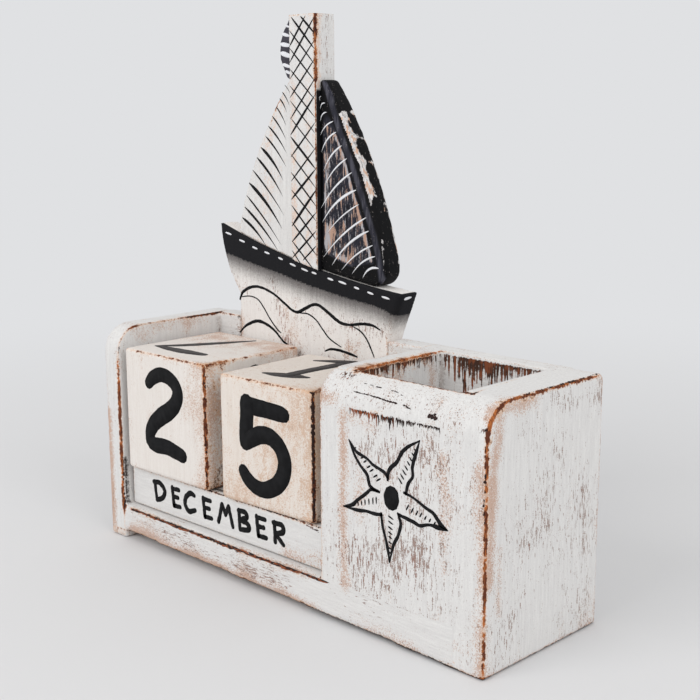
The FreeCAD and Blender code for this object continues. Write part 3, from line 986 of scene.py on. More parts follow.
def make_boat():
    hull = worn_copy("boat_hull", HULL_WEAR)
    hull_ink(hull)
    mast = worn_copy("boat_mast", MAST_WEAR)
    mast_ink(mast)
    left_sail = worn_copy("boat_left_sail", LEFT_SAIL_WEAR)
    right_sail = worn_copy("boat_right_sail", {})
    rub_black_sail(right_sail)
    outline = [(PENNANT[1][0], PENNANT[1][2])] + PENNANT_EDGE + [(PENNANT[1][0], PENNANT[0][2])]
    pennant = joined("pennant", [prism(outline, 1, PENNANT[0][1], PENNANT[1][1])])
    pennant = worn(pennant, "boat_pennant", PENNANT_INSET)
    parts = [
        ("hull", hull, washed_wood("washed_hull", **HULL_LOOK), "hull_paint"),
        ("mast", mast, washed_wood("washed_mast", **MAST_LOOK), "mast_paint"),
        ("left_sail", left_sail, washed_wood("washed_sail", **SAIL_LOOK), "white_sail_paint"),
        ("right_sail", right_sail, rubbed_black("black_sail"), "black_sail_paint"),
        ("pennant", pennant, plain_paint("pennant_black", (62, 60, 68), (130, 126, 126), 0.03),
         "pennant_paint"),
    ]
    for name, mesh, finish, slot in parts:
        finished("painted_" + name, mesh, BOX, finish, slot, "boat_" + name)


def rub_black_sail(mesh):
    """Where the right sail is streaked or bare, and its band of painted sheen."""
    points = positions(mesh)
    facing = normals(mesh)
    x, y, z = points.T
    front = facing[:, 1] < -0.5
    field = np.clip((np.interp(z, FIELD_Z, FIELD_X) - x) / 1.0, 0, 1)
    field *= np.clip((x - FIELD_LEFT) / 0.8, 0, 1)
    field *= np.clip((z - np.interp(x, SAIL_FOOT_X, SAIL_FOOT_Z)) / 1.5, 0, 1)
    field *= np.clip((FIELD_TOP - z) / 6, 0, 1)
    border = np.clip(1 - np.abs(np.interp(z, FIELD_Z, FIELD_X) - 1.2 - x) / 1.3, 0, 1)
    border *= z < BORDER_TOP
    border += strokes_value(points, FIELD_PATCHES)
    # painted sheen: a grey band inside the leech, standing in for light on a bevel
    inner = x - np.interp(z, SHEEN_Z, SHEEN_X)
    bevel_sheen = np.clip(inner / 0.6, 0, 1) * np.clip((SHEEN_WIDTH + 0.8 - inner) / 0.8, 0, 1)
    set_values(mesh, "streak", np.where(front, field * (1 + border), 0))
    set_values(mesh, "bevel_sheen", np.where(facing[:, 1] < -0.2, bevel_sheen, 0))
    edge = np.column_stack((y, z, np.zeros(len(z))))
    blots = strokes_value(edge, [((*a, 0), (*b, 0), reach, 1.3) for a, b, reach in EDGE_BLOTS])
    torn_z = z + 3.2 * (ripple(points, (2.4, 2.4, 2.4), 77) - 0.5)
    bare = np.clip((torn_z - EDGE_BARE[0]) / 9, 0, 1)
    bare *= np.clip((EDGE_BARE[1] - torn_z) / 1.5, 0, 1)
    bare = bare ** 0.5 - blots
    bare *= facing[:, 0] > 0.25
    line = np.abs(x - np.interp(z, LEECH_Z, LEECH_X))
    rim = np.clip(1 - line / 0.9, 0, 1) * (y < 23.2) * (RIM_SPAN[0] < z) * (z < RIM_SPAN[1])
    back = np.clip(y - RIGHT_SAIL[1][1] + 2.2, 0, 1) * (BACK_SPAN[0] < z) * (z < BACK_SPAN[1])
    back *= facing[:, 0] > 0.1
    set_values(mesh, "bare", np.maximum(bare, 0.8 * np.maximum(rim, back)))


def rubbed_black(name):
    """Black paint rubbed through to primer and peach-coloured wood."""
    r = Recipe(name, roughness=0.6, specular=0.12)
    grit = r.spread((0.3, 0.3, 0.3), 2.0, 5)
    streak = r.spread((0.75, 0.75, 5.0), 3.0, 9)
    wide = r.spread((1.4, 1.4, 9.0), 2.0, 15)
    blotch = r.spread((1.6, 1.6, 2.4), 3.0, 21)
    slate = r.mix(r.add((wide, 0.5), (blotch, 0.5)), tint(16, 16, 20), tint(54, 55, 66))
    tone = r.mix(r.step(r.stored("streak"), 0.1, 0.6), tint(8, 8, 10), slate)
    # painted sheen: the band along the leech is lifted to grey, as light on a bevel would be
    tone = r.mix(r.math("MULTIPLY", r.stored("bevel_sheen"), 0.8), tone,
                 r.mix(r.step(wide, 0.3, 0.75), tint(50, 50, 60), tint(84, 84, 94)))
    light = r.mix(r.step(wide, 0.4, 0.7), tint(188, 186, 190), tint(196, 160, 140))
    pale = r.add((r.stored("streak"), 0.42), (streak, 0.46), (wide, 0.16), (grit, 0.16))
    tone = r.mix(r.math("MULTIPLY", r.step(pale, 0.84, 1.02), 0.85), tone, light)
    bare = r.add((r.stored("bare"), 0.85), (blotch, 0.5), (streak, 0.2), (grit, 0.2))
    patch = r.mix(r.step(r.add((streak, 0.6), (grit, 0.4)), 0.35, 0.9), tint(222, 219, 217),
                  tint(138, 134, 135))
    patch = r.mix(r.step(wide, 0.62, 0.78), patch, tint(206, 172, 150))
    tone = r.mix(r.step(bare, 0.98, 1.08), tone, patch)
    speck = r.step(r.add((grit, 0.8), (blotch, 0.3)), 0.97, 1.02)
    tone = r.mix(speck, tone, tint(168, 160, 156))
    return r.finish(tone, r.add((pale, 0.5), (grit, 0.3)), 0.05)


# each cube's node, its body and the shift of its noises
CUBES = [("left_date_cube", "left_cube", 71), ("right_date_cube", "right_cube", 83)]
CUBE_LOOKS = {
    "left_date_cube": {"flecks": -0.14, "haze": -0.06, "paint": (235, 230, 225),
                       "shade": (220, 212, 205)},
    "right_date_cube": {"flecks": -0.04, "lump": 3.0, "paint": (234, 227, 220),
                        "shade": (218, 206, 195), "haze_colour": (202, 166, 138),
                        "fleck_colour": (134, 96, 74)},
}


def cube_wear_and_shade(node):
    """Worn arrises of a cube: the front's right one is rubbed to dark wood, and the right side
    gets painted shade.
    """
    low, high = corner_pair(node)
    left, right = low[0], high[0]
    front, back = low[1], high[1]
    bottom, top = low[2], high[2]
    lean = right - left - CUBE_SIDES[node]
    is_left = node == "left_date_cube"
    # the right cube's stronger crack is partly painted shade of its gap beside the divider
    line, crack = (1.6, 1.35) if is_left else (1.5, 1.9)
    head, foot = (right, front + lean, top), (right, front + lean, bottom)
    if is_left:
        own_haze = [((left, back - 8, top), (right, back - 8, top), 30.0, 1.0)]
    else:
        own_haze = [((left + 14, front, bottom), head, 30.0, 0.8),
                    ((right - 4, front, bottom), (right - 4, front, top), 8.0, 0.9)]
    return {
        "line": [((left, back, top), head, 80.0, 0.8),
                 (foot, head, 5.0, line),
                 ((left + lean, front, top), head, 4.0, 1.0),
                 (head, (right - lean, back, top), 4.0, 1.0)],
        "crack": [(foot, head, 4.0, crack),
                  (head, (right - 12, front, top), 4.0, 0.85),
                  (foot, (left, front, bottom), 3.0, 0.8)],
        # the wide bared stroke down the right side is painted shade, tan for the gap beside the
        # cube
        "bared": [((right, front + lean + 1, bottom), (right, front + lean + 1, top), 4.0, 0.5),
                  ((right, front + 9, bottom), (right, front + 9, top), 16.0, 1.05)],
        "haze": own_haze + [
            (head, (left, front, bottom + 10), 60.0, 0.2),
            ((right, back - 6, top), (right - 12, back, top), 22.0, 0.6),
            # this haze stroke down the right side is painted shade
            ((right, front + 4, bottom), (right, front + 4, top), 14.0, 0.9)],
        # the dark strokes on the right side are painted shade in the gap beside the cube
        "grime_and_shade": [((right, front + 3, bottom), (right, front + 8, bottom + 8), 4.0, 0.7),
                  ((right, front + 2, top - 8), (right, front + 2, top - 4), 2.5, 0.7)],
    }


def make_cubes():
    for node, body, shift in CUBES:
        name = "washed_" + body
        mesh = worn_copy(node, cube_wear_and_shade(node))
        finish = washed_wood(name + "_finish", shift=shift, **CUBE_LOOKS[node],
                             gaps=lambda r: block_gaps(r, node))
        finished(name, mesh, body, finish, body + "_wash", node)


def bar_wear_and_shade(node, smear_and_shade):
    """Worn arrises of a month bar, and a painted shadow on its top edge, where it lies between the
    cubes.
    """
    low, high = corner_pair(node)
    left, right, front = low[0], high[0], low[1]
    bottom, top = low[2], high[2]
    return {
        "line": [((left, front, top), (right, front, top), 20.0, 0.7)],
        "crack": [((left + 3, front, top), (right - 2, front, top), 4.0, 1.2),
                  ((right, front, top), (right, front, bottom), 4.0, 1.2)],
        "scuff": [((right - 9, front, top - 1), (right - 3, front, top - 1.5), 1.6, 0.8)],
        "bared": [((right - 14, front, bottom + 1), (right, front, bottom + 1), 2.0, 0.6)],
        # painted shadow: dark on the bar's top between the two cubes
        "grime_and_shade": [((-36, front + 2, top), (-31, front + 3, top), 3.5, smear_and_shade)],
        "haze": [((right - 20, front, bottom + 3), (right, front, bottom + 4), 6.0, 0.9)],
    }


def make_bars():
    # only the front bar gets the painted shadow between the cubes
    for place, smear_and_shade in (("front", 1.0), ("middle", 0.0), ("back", 0.0)):
        node = place + "_month_bar"
        mesh = worn_copy(node, bar_wear_and_shade(node, smear_and_shade), "month_bar")
        finish = washed_wood("washed_" + place + "_bar_finish", grain=0, shift=91, flecks=-0.14,
                             haze=-0.1, gaps=lambda r: block_gaps(r, node))
        finished("washed_" + place + "_bar", mesh, place + "_bar", finish, "bar_wash", node)


def finish_fixings():
    steel = metal_finish("pin_steel", (172, 172, 170))
    beech = bare_wood("dowel_beech", (214, 178, 134), (186, 146, 104))
    for node, thing in NODES.items():
        if node.endswith("_pins") or "dowel" in node:
            thing.data.materials.clear()
            thing.data.materials.append(steel if node.endswith("_pins") else beech)


# ---------------------------------------------------------------- painted marks
class Face:
    """A flat face to paint on: a middle point, two directions and the outward one."""

    def __init__(self, middle, across, upward, outward):
        self.middle = np.asarray(middle, float)
        self.across = np.asarray(across, float)
        self.upward = np.asarray(upward, float)
        self.outward = np.asarray(outward, float)

    def place(self, u, v, rise=0.0):
        return self.middle + u * self.across + v * self.upward + rise * self.outward


def front_face(y):
    """The face that looks straight ahead at depth y: u is x and v is z."""
    return Face((0, y, 0), (1, 0, 0), (0, 0, 1), (0, -1, 0))


PAINT_RISE = 0.05                # paint stands this far off the wood
PAINT_SINK = 0.3                 # and reaches this far into it
LAYER = 0.012                    # each stroke over another stands a little higher
CAP_STEPS = 5


def eased(stations, spacing):
    """A smooth run through stations of (u, v, width)."""
    s = [np.asarray(p, float) for p in stations]
    s = [2 * s[0] - s[1]] + s + [2 * s[-1] - s[-2]]
    run = []
    for a, b, c, d in zip(s, s[1:], s[2:], s[3:]):
        steps = max(2, int(np.linalg.norm((c - b)[:2]) / spacing))
        for k in range(steps):
            t = k / steps
            run.append(0.5 * (2 * b + (c - a) * t + (2 * a - 5 * b + 4 * c - d) * t ** 2
                              + (3 * b - a - 3 * c + d) * t ** 3))
    run.append(s[-2])
    return np.array(run)


def stroke_ring(stations, spacing, unevenness, seed):
    """Outline of one brush stroke: its left side, right side and two caps."""
    run = eased(stations, spacing)
    middle, half = run[:, :2], np.maximum(run[:, 2], 0.04) / 2
    ahead = np.gradient(middle, axis=0)
    ahead /= np.maximum(np.linalg.norm(ahead, axis=1), 1e-9)[:, None]
    side = np.stack([-ahead[:, 1], ahead[:, 0]], 1)
    flat = np.column_stack([middle, np.zeros(len(middle))])
    left_rough = 1 + unevenness * (ripple(flat, (1.1,) * 3, seed) - 0.5)
    right_rough = 1 + unevenness * (ripple(flat, (1.1,) * 3, seed + 7) - 0.5)
    left = middle + side * (half * left_rough)[:, None]
    right = middle - side * (half * right_rough)[:, None]
    caps = []
    for end, sign in ((-1, 1), (0, -1)):
        angles = np.pi * np.arange(1, CAP_STEPS) / CAP_STEPS
        caps.append([middle[end] + half[end] * sign * (side[end] * math.cos(a)
                     + ahead[end] * math.sin(a)) for a in angles])
    return left, right, caps


def stroke_solid(face, stations, unevenness=0.12, seed=0, spacing=0.5, rise=PAINT_RISE):
    """A closed, thin body for one brush stroke on a face."""
    left, right, (far_cap, near_cap) = stroke_ring(stations, spacing, unevenness, seed)
    count = len(left)
    ring = list(left) + list(far_cap) + list(right[::-1]) + list(near_cap)
    points = [face.place(u, v, rise) for u, v in ring]
    points += [face.place(u, v, -PAINT_SINK) for u, v in ring]
    size = len(ring)
    turn = count + len(far_cap)
    other = [turn + count - 1 - i for i in range(count)]
    faces = []
    for i in range(count - 1):
        faces.append([i, i + 1, other[i + 1], other[i]])
    faces.append([count - 1] + list(range(count, turn + 1)))
    faces.append([turn + count - 1] + list(range(turn + count, size)) + [0])
    lower = [[size + i for i in reversed(f)] for f in faces]
    sides = [[i, size + i, size + (i + 1) % size, (i + 1) % size] for i in range(size)]
    return points, faces + lower + sides


def paint_strokes(name, face, strokes, body, material, slot, **options):
    """Several strokes on one face as one piece."""
    solids = [stroke_solid(face, s, seed=17 * i, rise=PAINT_RISE + LAYER * (i % 3), **options)
              for i, s in enumerate(strokes)]
    return finished(name, joined(name, solids), body, material, slot)


# ---- marks that repeat: one tree of nodes lays a tapered mark on each point
MARK_CROWN = 0.22                # height of a mark
MARK_SOCKETS = {"Points": "Geometry", "Crown": "Float", "Bow": "Float", "Taper": "Float",
                "Scatter": "Float", "Seed": "Int", "Outward": "Vector", "Paint": "Material"}


def mark_tree():
    """Node tree that lays a tapered, bowed brush mark on every given point.

    Each point stores run, from the mark's start to its end, and broad, its
    greatest width.
    """
    tree = bpy.data.node_groups.new("brush_marks", "GeometryNodeTree")
    tree.interface.new_socket("Geometry", in_out="OUTPUT", socket_type="NodeSocketGeometry")
    for name, kind in MARK_SOCKETS.items():
        tree.interface.new_socket(name, in_out="INPUT", socket_type="NodeSocket" + kind)

    def node(kind, inputs=None, **settings):
        return add_node(tree, kind, inputs, **settings)

    def combined(operation, first, second):
        return node("ShaderNodeMath", {0: first, 1: second}, operation=operation).outputs[0]

    def attribute(name, kind):
        return node("GeometryNodeInputNamedAttribute", {"Name": name},
                    data_type=kind).outputs["Attribute"]

    given = node("NodeGroupInput").outputs
    spine = node("GeometryNodeCurvePrimitiveLine", {"Start": (-0.5, 0, 0), "End": (0.5, 0, 0)})
    spine = node("GeometryNodeResampleCurve", {"Curve": spine.outputs[0], "Count": 10})

    # full and round at the start, drawn out thin at the end
    share = node("GeometryNodeSplineParameter").outputs["Factor"]
    rest = combined("SUBTRACT", 1.0, share)
    arch = combined("MULTIPLY", combined("MULTIPLY", share, rest), 4.0)
    swell = combined("POWER", combined("MAXIMUM", arch, 0.02), 0.4)
    thinner = combined("SUBTRACT", 1.0, combined("MULTIPLY", share, given["Taper"]))
    width = node("GeometryNodeSetCurveRadius", {
        "Curve": spine.outputs[0], "Radius": combined("MULTIPLY", swell, thinner)})
    profile = node("GeometryNodeCurvePrimitiveCircle", {"Resolution": 6, "Radius": 0.5})
    body = node("GeometryNodeCurveToMesh", {
        "Curve": width.outputs[0], "Profile Curve": profile.outputs[0], "Fill Caps": True})
    if "Scale" in body.inputs:
        tree.links.new(node("GeometryNodeInputRadius").outputs[0], body.inputs["Scale"])

    # the bow is greatest in the middle of the mark
    place = node("ShaderNodeSeparateXYZ", {0: node("GeometryNodeInputPosition").outputs[0]})
    square = combined("MULTIPLY", place.outputs["X"], place.outputs["X"])
    sag = combined("SUBTRACT", 1.0, combined("MULTIPLY", square, 4.0))
    sag = combined("MULTIPLY", combined("MAXIMUM", sag, 0.0), given["Bow"])
    aside = node("ShaderNodeCombineXYZ", {"Y": sag})
    bent = node("GeometryNodeSetPosition", {
        "Geometry": body.outputs[0], "Offset": aside.outputs[0]})

    # how each mark lies
    run, broad = attribute("run", "FLOAT_VECTOR"), attribute("broad", "FLOAT")
    turn = node("FunctionNodeAxesToRotation", {
        "Primary Axis": run, "Secondary Axis": given["Outward"],
    }, primary_axis="X", secondary_axis="Z")
    length = node("ShaderNodeVectorMath", {0: run}, operation="LENGTH")
    size = node("ShaderNodeCombineXYZ", {
        "X": length.outputs["Value"], "Y": broad, "Z": given["Crown"]})

    # a hand does not space them evenly
    chance = node("FunctionNodeRandomValue", {2: -0.5, 3: 0.5, "Seed": given["Seed"]},
                  data_type="FLOAT")
    shift = node("ShaderNodeVectorMath", {0: run, 1: given["Outward"]},
                 operation="CROSS_PRODUCT")
    unit = node("ShaderNodeVectorMath", {0: shift.outputs["Vector"]}, operation="NORMALIZE")
    moved = node("ShaderNodeVectorMath", {
        0: unit.outputs["Vector"],
        "Scale": combined("MULTIPLY", chance.outputs[1], given["Scatter"]),
    }, operation="SCALE")
    placed = node("GeometryNodeSetPosition", {
        "Geometry": given["Points"], "Offset": moved.outputs["Vector"]})

    laid = node("GeometryNodeInstanceOnPoints", {
        "Points": placed.outputs[0], "Instance": bent.outputs[0],
        "Rotation": turn.outputs[0], "Scale": size.outputs[0]})
    real = node("GeometryNodeRealizeInstances", {0: laid.outputs[0]})
    painted = node("GeometryNodeSetMaterial", {
        "Geometry": real.outputs[0], "Material": given["Paint"]})
    node("NodeGroupOutput", {0: painted.outputs[0]})
    return tree


MARKS = mark_tree()


def laid_marks(face, marks, material, bow=0.0, taper=0.5, scatter=0.0, seed=1):
    """Mesh of marks, each given as (u, v) start, (u, v) end and width."""
    points, runs, widths = [], [], []
    for start, end, width in marks:
        first = face.place(*start)
        last = face.place(*end)
        points.append(tuple((first + last) / 2 * MM))
        runs.append((last - first) * MM)
        widths.append(width * MM)
    mesh = bpy.data.meshes.new("mark_points")
    mesh.from_pydata(points, [], [])
    run = mesh.attributes.new("run", "FLOAT_VECTOR", "POINT")
    run.data.foreach_set("vector", np.array(runs, np.float32).ravel())
    broad = mesh.attributes.new("broad", "FLOAT", "POINT")
    broad.data.foreach_set("value", np.array(widths, np.float32))
    given = {"Crown": MARK_CROWN * MM, "Bow": float(bow), "Taper": float(taper),
             "Scatter": scatter * MM, "Seed": seed,
             "Outward": [float(c) for c in face.outward], "Paint": material}

    def lay_marks(holder):
        change = holder.modifiers.new("marks", "NODES")
        change.node_group = MARKS
        for socket in MARKS.interface.items_tree:
            if socket.name in given:
                change[socket.identifier] = given[socket.name]

    return modified(mesh, lay_marks)


def paint_marks(name, face, marks, paint, slot, **options):
    """Marks on one face of the box or the boat as one piece."""
    mesh = gathered(name, [laid_marks(face, marks, paint, **options)])
    return finished(name, mesh, BOX, paint, slot)


def gathered(name, meshes):
    """Several meshes as one."""
    bm = bmesh.new()
    for mesh in meshes:
        bm.from_mesh(mesh)
    result = bpy.data.meshes.new(name)
    bm.to_mesh(result)
    bm.free()
    for layer in ("run", "broad"):
        if layer in result.attributes:
            result.attributes.remove(result.attributes[layer])
    return result


# ---- digits: stations of (across, up, width) from the middle of a cube's face
DIGIT_STROKES = {
    "0": [[(0, 15.5, 5.5), (-6.5, 12.5, 5.8), (-9.2, 3, 6), (-8.5, -7, 6), (-3.5, -14.3, 5.8),
           (3, -14.6, 5.8), (8.3, -8, 6), (9.4, 3, 6), (7, 12, 5.8), (0.5, 15.4, 5.5)]],
    "1": [[(-5.5, 10.5, 4.4), (-1, 14.8, 5), (1.5, 15.5, 5)],
          [(1.5, 15.5, 5.4), (1.2, 5, 5.6), (1, -14.5, 5.4)]],
    "2": [[(-9.2, 10.6, 4.6), (-6.6, 12.9, 5.3), (-2.3, 14.6, 5.4), (2.2, 14.2, 5.5),
           (5.9, 12.1, 5.6), (7.3, 8.9, 6.0), (5.9, 5.3, 6.2), (2.4, 2.1, 6.6),
           (-2.6, -0.9, 6.6), (-6.8, -4.1, 6.2), (-9.2, -7.6, 5.8), (-9.6, -10.9, 5.4)],
          [(-8.6, -12.0, 5.2), (-5.5, -12.1, 6.0), (-0.1, -11.8, 5.9), (4.7, -12.5, 5.7),
           (8.9, -13.4, 5.2)]],
    "3": [[(-7.5, 12.5, 4.6), (-1, 15.3, 5.4), (6, 13, 5.6), (6.8, 6.5, 5.8), (1, 1.5, 5.6)],
          [(-0.5, 1.5, 4.6), (6, -0.5, 5.8), (8.6, -6.5, 6.2), (5, -13.2, 5.8),
           (-2, -15.3, 5.4), (-8.5, -12, 4.6)]],
    "4": [[(3, 15.5, 5), (-9, -4.5, 5.2), (-8.5, -6, 5)], [(-9, -6.2, 5), (10.5, -5.6, 5)],
          [(4, 4.5, 5.2), (3.6, -15, 5.2)]],
    "5": [[(-8.6, 14.0, 5.4), (-5.2, 12.9, 6.2), (1.7, 12.7, 5.9), (8.1, 12.4, 5.8),
           (9.9, 12.2, 5.2)],
          [(-8.3, 13.6, 6.6), (-8.3, 9, 6.6), (-8.8, 3, 6.8), (-9.2, -0.6, 5.8)],
          [(-8.6, -0.6, 5.4), (-6.0, 1.3, 6.2), (-1.9, 3.3, 6.4), (2.6, 3.6, 6.3),
           (6.6, 1.7, 6.2), (9.0, -1.4, 6.3), (9.9, -5.0, 6.5), (9.0, -9.0, 6.6),
           (6.4, -12.6, 6.4), (2.6, -15.0, 6.2), (-1.4, -16.0, 5.8), (-5.4, -15.3, 5.6),
           (-8.6, -13.3, 5.4), (-10.6, -11.0, 4.8)]],
    "6": [[(4, 15.5, 4.8), (-4, 11, 5.6), (-8.6, 2.5, 6), (-8.6, -7, 6), (-3, -14.3, 5.8),
           (4, -14.2, 5.8), (8, -8, 6), (6, -1.5, 5.6), (0, 0.2, 5.2), (-6, -3, 4.6)]],
    "8": [[(0, 15.3, 5), (-6.4, 12, 5.2), (-6.2, 6, 5.2), (0, 1.3, 5.4), (6.8, -3.5, 5.6),
           (7.6, -9.5, 5.6), (2.5, -14.8, 5.4), (-4.5, -14.2, 5.4), (-8, -8.5, 5.4),
           (-5.5, -2.5, 5.4), (0, 1.5, 5.2), (5.8, 6.3, 5), (5.8, 12, 5), (0.3, 15.2, 5)]],
}
# the thinner digits that lie on top of the two cubes, as they show there
TOP_SEVEN = [[(-17.2, -13.0, 1.4), (-11, -6.2, 3.2), (-4.5, 4.5, 3.4), (3.3, 19.1, 1.2)],
             [(-17.2, -13.0, 1.4), (-8, -13.2, 3.6), (1, -13.0, 4.2), (9.6, -12.1, 2.6)]]
TOP_ONE = [[(-10.6, -12.4, 1.6), (-5, -11.2, 4.2), (1, -9.6, 4.4), (6.2, -8.3, 1.8)],
           [(-1.8, -9.6, 4.0), (-1.0, 4, 4.0), (0.6, 20, 4.4)],
           [(0.8, 20.4, 4.6), (-5, 18.2, 3.4), (-11.6, 14.4, 1.2)]]


# which digit each side shows, and how far the digits lie from its middle
CUBE_DIGITS = {
    "left_date_cube": {"front": "2", "back": "6", "right": "0", "left": "1", "bottom": "8"},
    "right_date_cube": {"front": "5", "back": "4", "right": "3", "left": "0", "bottom": "2"},
}
TOP_DIGITS = {"left_date_cube": TOP_SEVEN, "right_date_cube": TOP_ONE}
TOP_BREADTH = 1.35
DIGIT_SHIFT = {"left_date_cube": (0.6, 1.0), "right_date_cube": (-0.6, 0.5)}
DIGIT_CUBE = 45.5                # side of the cube that the digits are drawn for


def cube_faces(node):
    """The six faces of a date cube, by name, for painting."""
    low, high = corner_pair(node)
    middle = (low + high) / 2
    angle = math.radians(CUBE_TWISTS[node])
    across = np.array([math.cos(angle), math.sin(angle), 0])
    inward = np.array([-math.sin(angle), math.cos(angle), 0])
    upward = np.array([0, 0, 1.0])
    half = CUBE_SIDES[node] / 2 - COPY_INSET
    return {
        "front": Face(middle - inward * half, across, upward, -inward),
        "back": Face(middle + inward * half, -across, upward, inward),
        "right": Face(middle + across * half, inward, upward, across),
        "left": Face(middle - across * half, -inward, upward, -across),
        "top": Face(middle + upward * half, across, inward, upward),
        "bottom": Face(middle - upward * half, across, -inward, -upward),
    }


def set_on(node, stroke):
    """A digit's stroke fitted to the size of a cube and moved to where it lies."""
    scale = CUBE_SIDES[node] / DIGIT_CUBE
    across, up = DIGIT_SHIFT[node]
    return [(u * scale + across, v * scale + up, w * scale) for u, v, w in stroke]


def paint_cubes(black, faded):
    for node, body, _ in CUBES:
        faces = cube_faces(node)
        digits = [stroke_solid(faces[side], set_on(node, stroke), 0.05, seed=31 * i,
                               rise=PAINT_RISE + LAYER * i)
                  for side, digit in CUBE_DIGITS[node].items()
                  for i, stroke in enumerate(DIGIT_STROKES[digit])]
        name = "digits_on_" + body
        finished(name, joined(name, digits), body, black, body + "_wash")
        digits = [stroke_solid(faces["top"], [(u, v, TOP_BREADTH * w) for u, v, w in stroke],
                               0.12, seed=5, rise=PAINT_RISE + LAYER * i)
                  for i, stroke in enumerate(TOP_DIGITS[node])]
        name = "top_digit_on_" + body
        finished(name, joined(name, digits), body, faded, body + "_wash")


# ---- lettering: strokes in a box one wide and one high
LETTERS = {
    "B": [[(0.05, 1), (0.12, 0)], [(0, 0.96), (0.6, 0.98), (0.75, 0.75), (0.15, 0.5)],
          [(0.15, 0.5), (0.85, 0.42), (0.9, 0.14), (0.14, 0)]],
    "C": [[(0.85, 0.95), (0.5, 1), (0.12, 0.7), (0.05, 0.3), (0.35, 0), (0.9, 0.16)]],
    "D": [[(0.1, 1), (0.22, 0)], [(0, 0.96), (0.55, 0.98), (0.95, 0.62), (0.7, 0.2), (0.22, 0)]],
    "E": [[(0.05, 1), (0.2, 0)], [(0.05, 0.94), (0.85, 0.96)], [(0.15, 0.5), (0.72, 0.52)],
          [(0.2, 0.02), (0.95, 0.04)]],
    "M": [[(0.02, 0), (0.28, 1)], [(0.28, 1), (0.5, 0.5)], [(0.5, 0.5), (0.72, 1)],
          [(0.72, 1), (0.98, 0)]],
    "R": [[(0.12, 1), (0.16, 0)], [(0, 0.96), (0.8, 0.96), (0.85, 0.62), (0.14, 0.44)],
          [(0.16, 0.44), (0.92, 0)]],
}
LETTER_WIDTH = 2.1
LETTER_TIP = 0.86                # width at a stroke's ends, as a share of it
MONTH = "DECEMBER"
# each letter's left and right end along the bar, and the foot and head of all
MONTH_SPANS = [(-70.6, -63.3), (-59.2, -54.2), (-51.6, -44.6), (-40.6, -35.4),
               (-31.8, -23.4), (-20.3, -14.4), (-10.7, -5.1), (-1.6, 4.0)]
MONTH_HEIGHTS = (18.7, 25.9)


def written(word, spans, foot, head):
    """Strokes of a word whose letters stand between the given left and right ends."""
    strokes = []
    for letter, (left, right) in zip(word, spans):
        for path in LETTERS[letter]:
            stations = []
            for k, (u, v) in enumerate(path):
                tip = k in (0, len(path) - 1)
                width = LETTER_WIDTH * (LETTER_TIP if tip else 1.0)
                stations.append((left + u * (right - left), foot + v * (head - foot), width))
            strokes.append(stations)
    return strokes


def paint_bars(black):
    bar = front_face(corner_pair("front_month_bar")[0][1] + COPY_INSET)
    paint_strokes("month_name", bar, written(MONTH, MONTH_SPANS, *MONTH_HEIGHTS),
                  "front_bar", black, "bar_wash", unevenness=0.25, spacing=0.3)


# ---- the star on the front of the pen well
STAR_OUTLINES = [
    [(39.6, 64.2, 0.4), (41.9, 59.9, 1.0), (44.6, 56.7, 1.0), (47.5, 54.3, 1.2),
     (48.9, 50.8, 1.2), (52.9, 49.8, 0.7)],
    [(39.6, 64.2, 0.4), (42.9, 60.9, 1.1), (47.5, 59.5, 0.9), (50.4, 57.9, 1.0),
     (54.9, 56.6, 1.1), (56.5, 54.7, 0.8)],
    [(56.4, 54.4, 0.8), (57.1, 57.9, 1.3), (60.2, 61.0, 1.2), (63.4, 65.6, 1.2),
     (69.5, 69.5, 0.4)],
    [(69.5, 69.5, 0.4), (67.7, 64.3, 1.3), (66.6, 60.5, 1.1), (66.8, 57.7, 1.0),
     (64.9, 55.0, 1.1), (64.0, 51.6, 1.0)],
    [(63.3, 51.8, 0.9), (66.8, 51.1, 0.9), (71.5, 49.2, 1.0), (75.1, 47.9, 1.2),
     (77.9, 45.3, 1.4), (80.8, 43.9, 0.4)],
    [(80.8, 43.9, 0.4), (77.0, 44.0, 1.4), (73.4, 43.9, 0.9), (69.7, 42.8, 1.1),
     (66.9, 43.4, 1.2), (61.2, 44.2, 1.1)],
    [(60.7, 44.6, 0.7), (61.9, 41.1, 1.2), (60.7, 37.1, 1.1), (58.8, 33.6, 1.1),
     (57.2, 27.6, 0.4)],
    [(57.2, 27.6, 0.4), (56.4, 32.2, 1.2), (55.4, 35.7, 1.0), (54.2, 39.2, 1.0),
     (53.7, 42.8, 1.0)],
    [(53.9, 42.5, 0.9), (50.4, 42.1, 1.2), (47.4, 42.2, 0.9), (43.4, 41.6, 1.1),
     (37.0, 41.5, 0.4)],
    [(37.0, 41.5, 0.4), (40.8, 42.8, 1.3), (43.4, 45.0, 1.1), (47.4, 48.2, 1.1),
     (49.4, 49.8, 1.0), (52.9, 49.6, 0.6)],
]
STAR_MIDDLE = (58.0, 48.9)
STAR_TIPS = [(39.6, 64.2), (69.5, 69.5), (80.8, 43.9), (57.2, 27.6), (37.0, 41.5)]
STAR_BUD = [(57.9, 47.9, 6.2), (58.0, 48.9, 6.6), (58.1, 49.8, 6.2)]
STAR_BREADTH = 1.08
TICKS_PER_ARM = 8
TICKS_FROM, TICKS_OVER = 0.3, 0.55       # where they lie, as shares of an arm
TICK_HALF = 1.5
TICK_LEAN = 0.3
TICK_WIDTH = 0.75


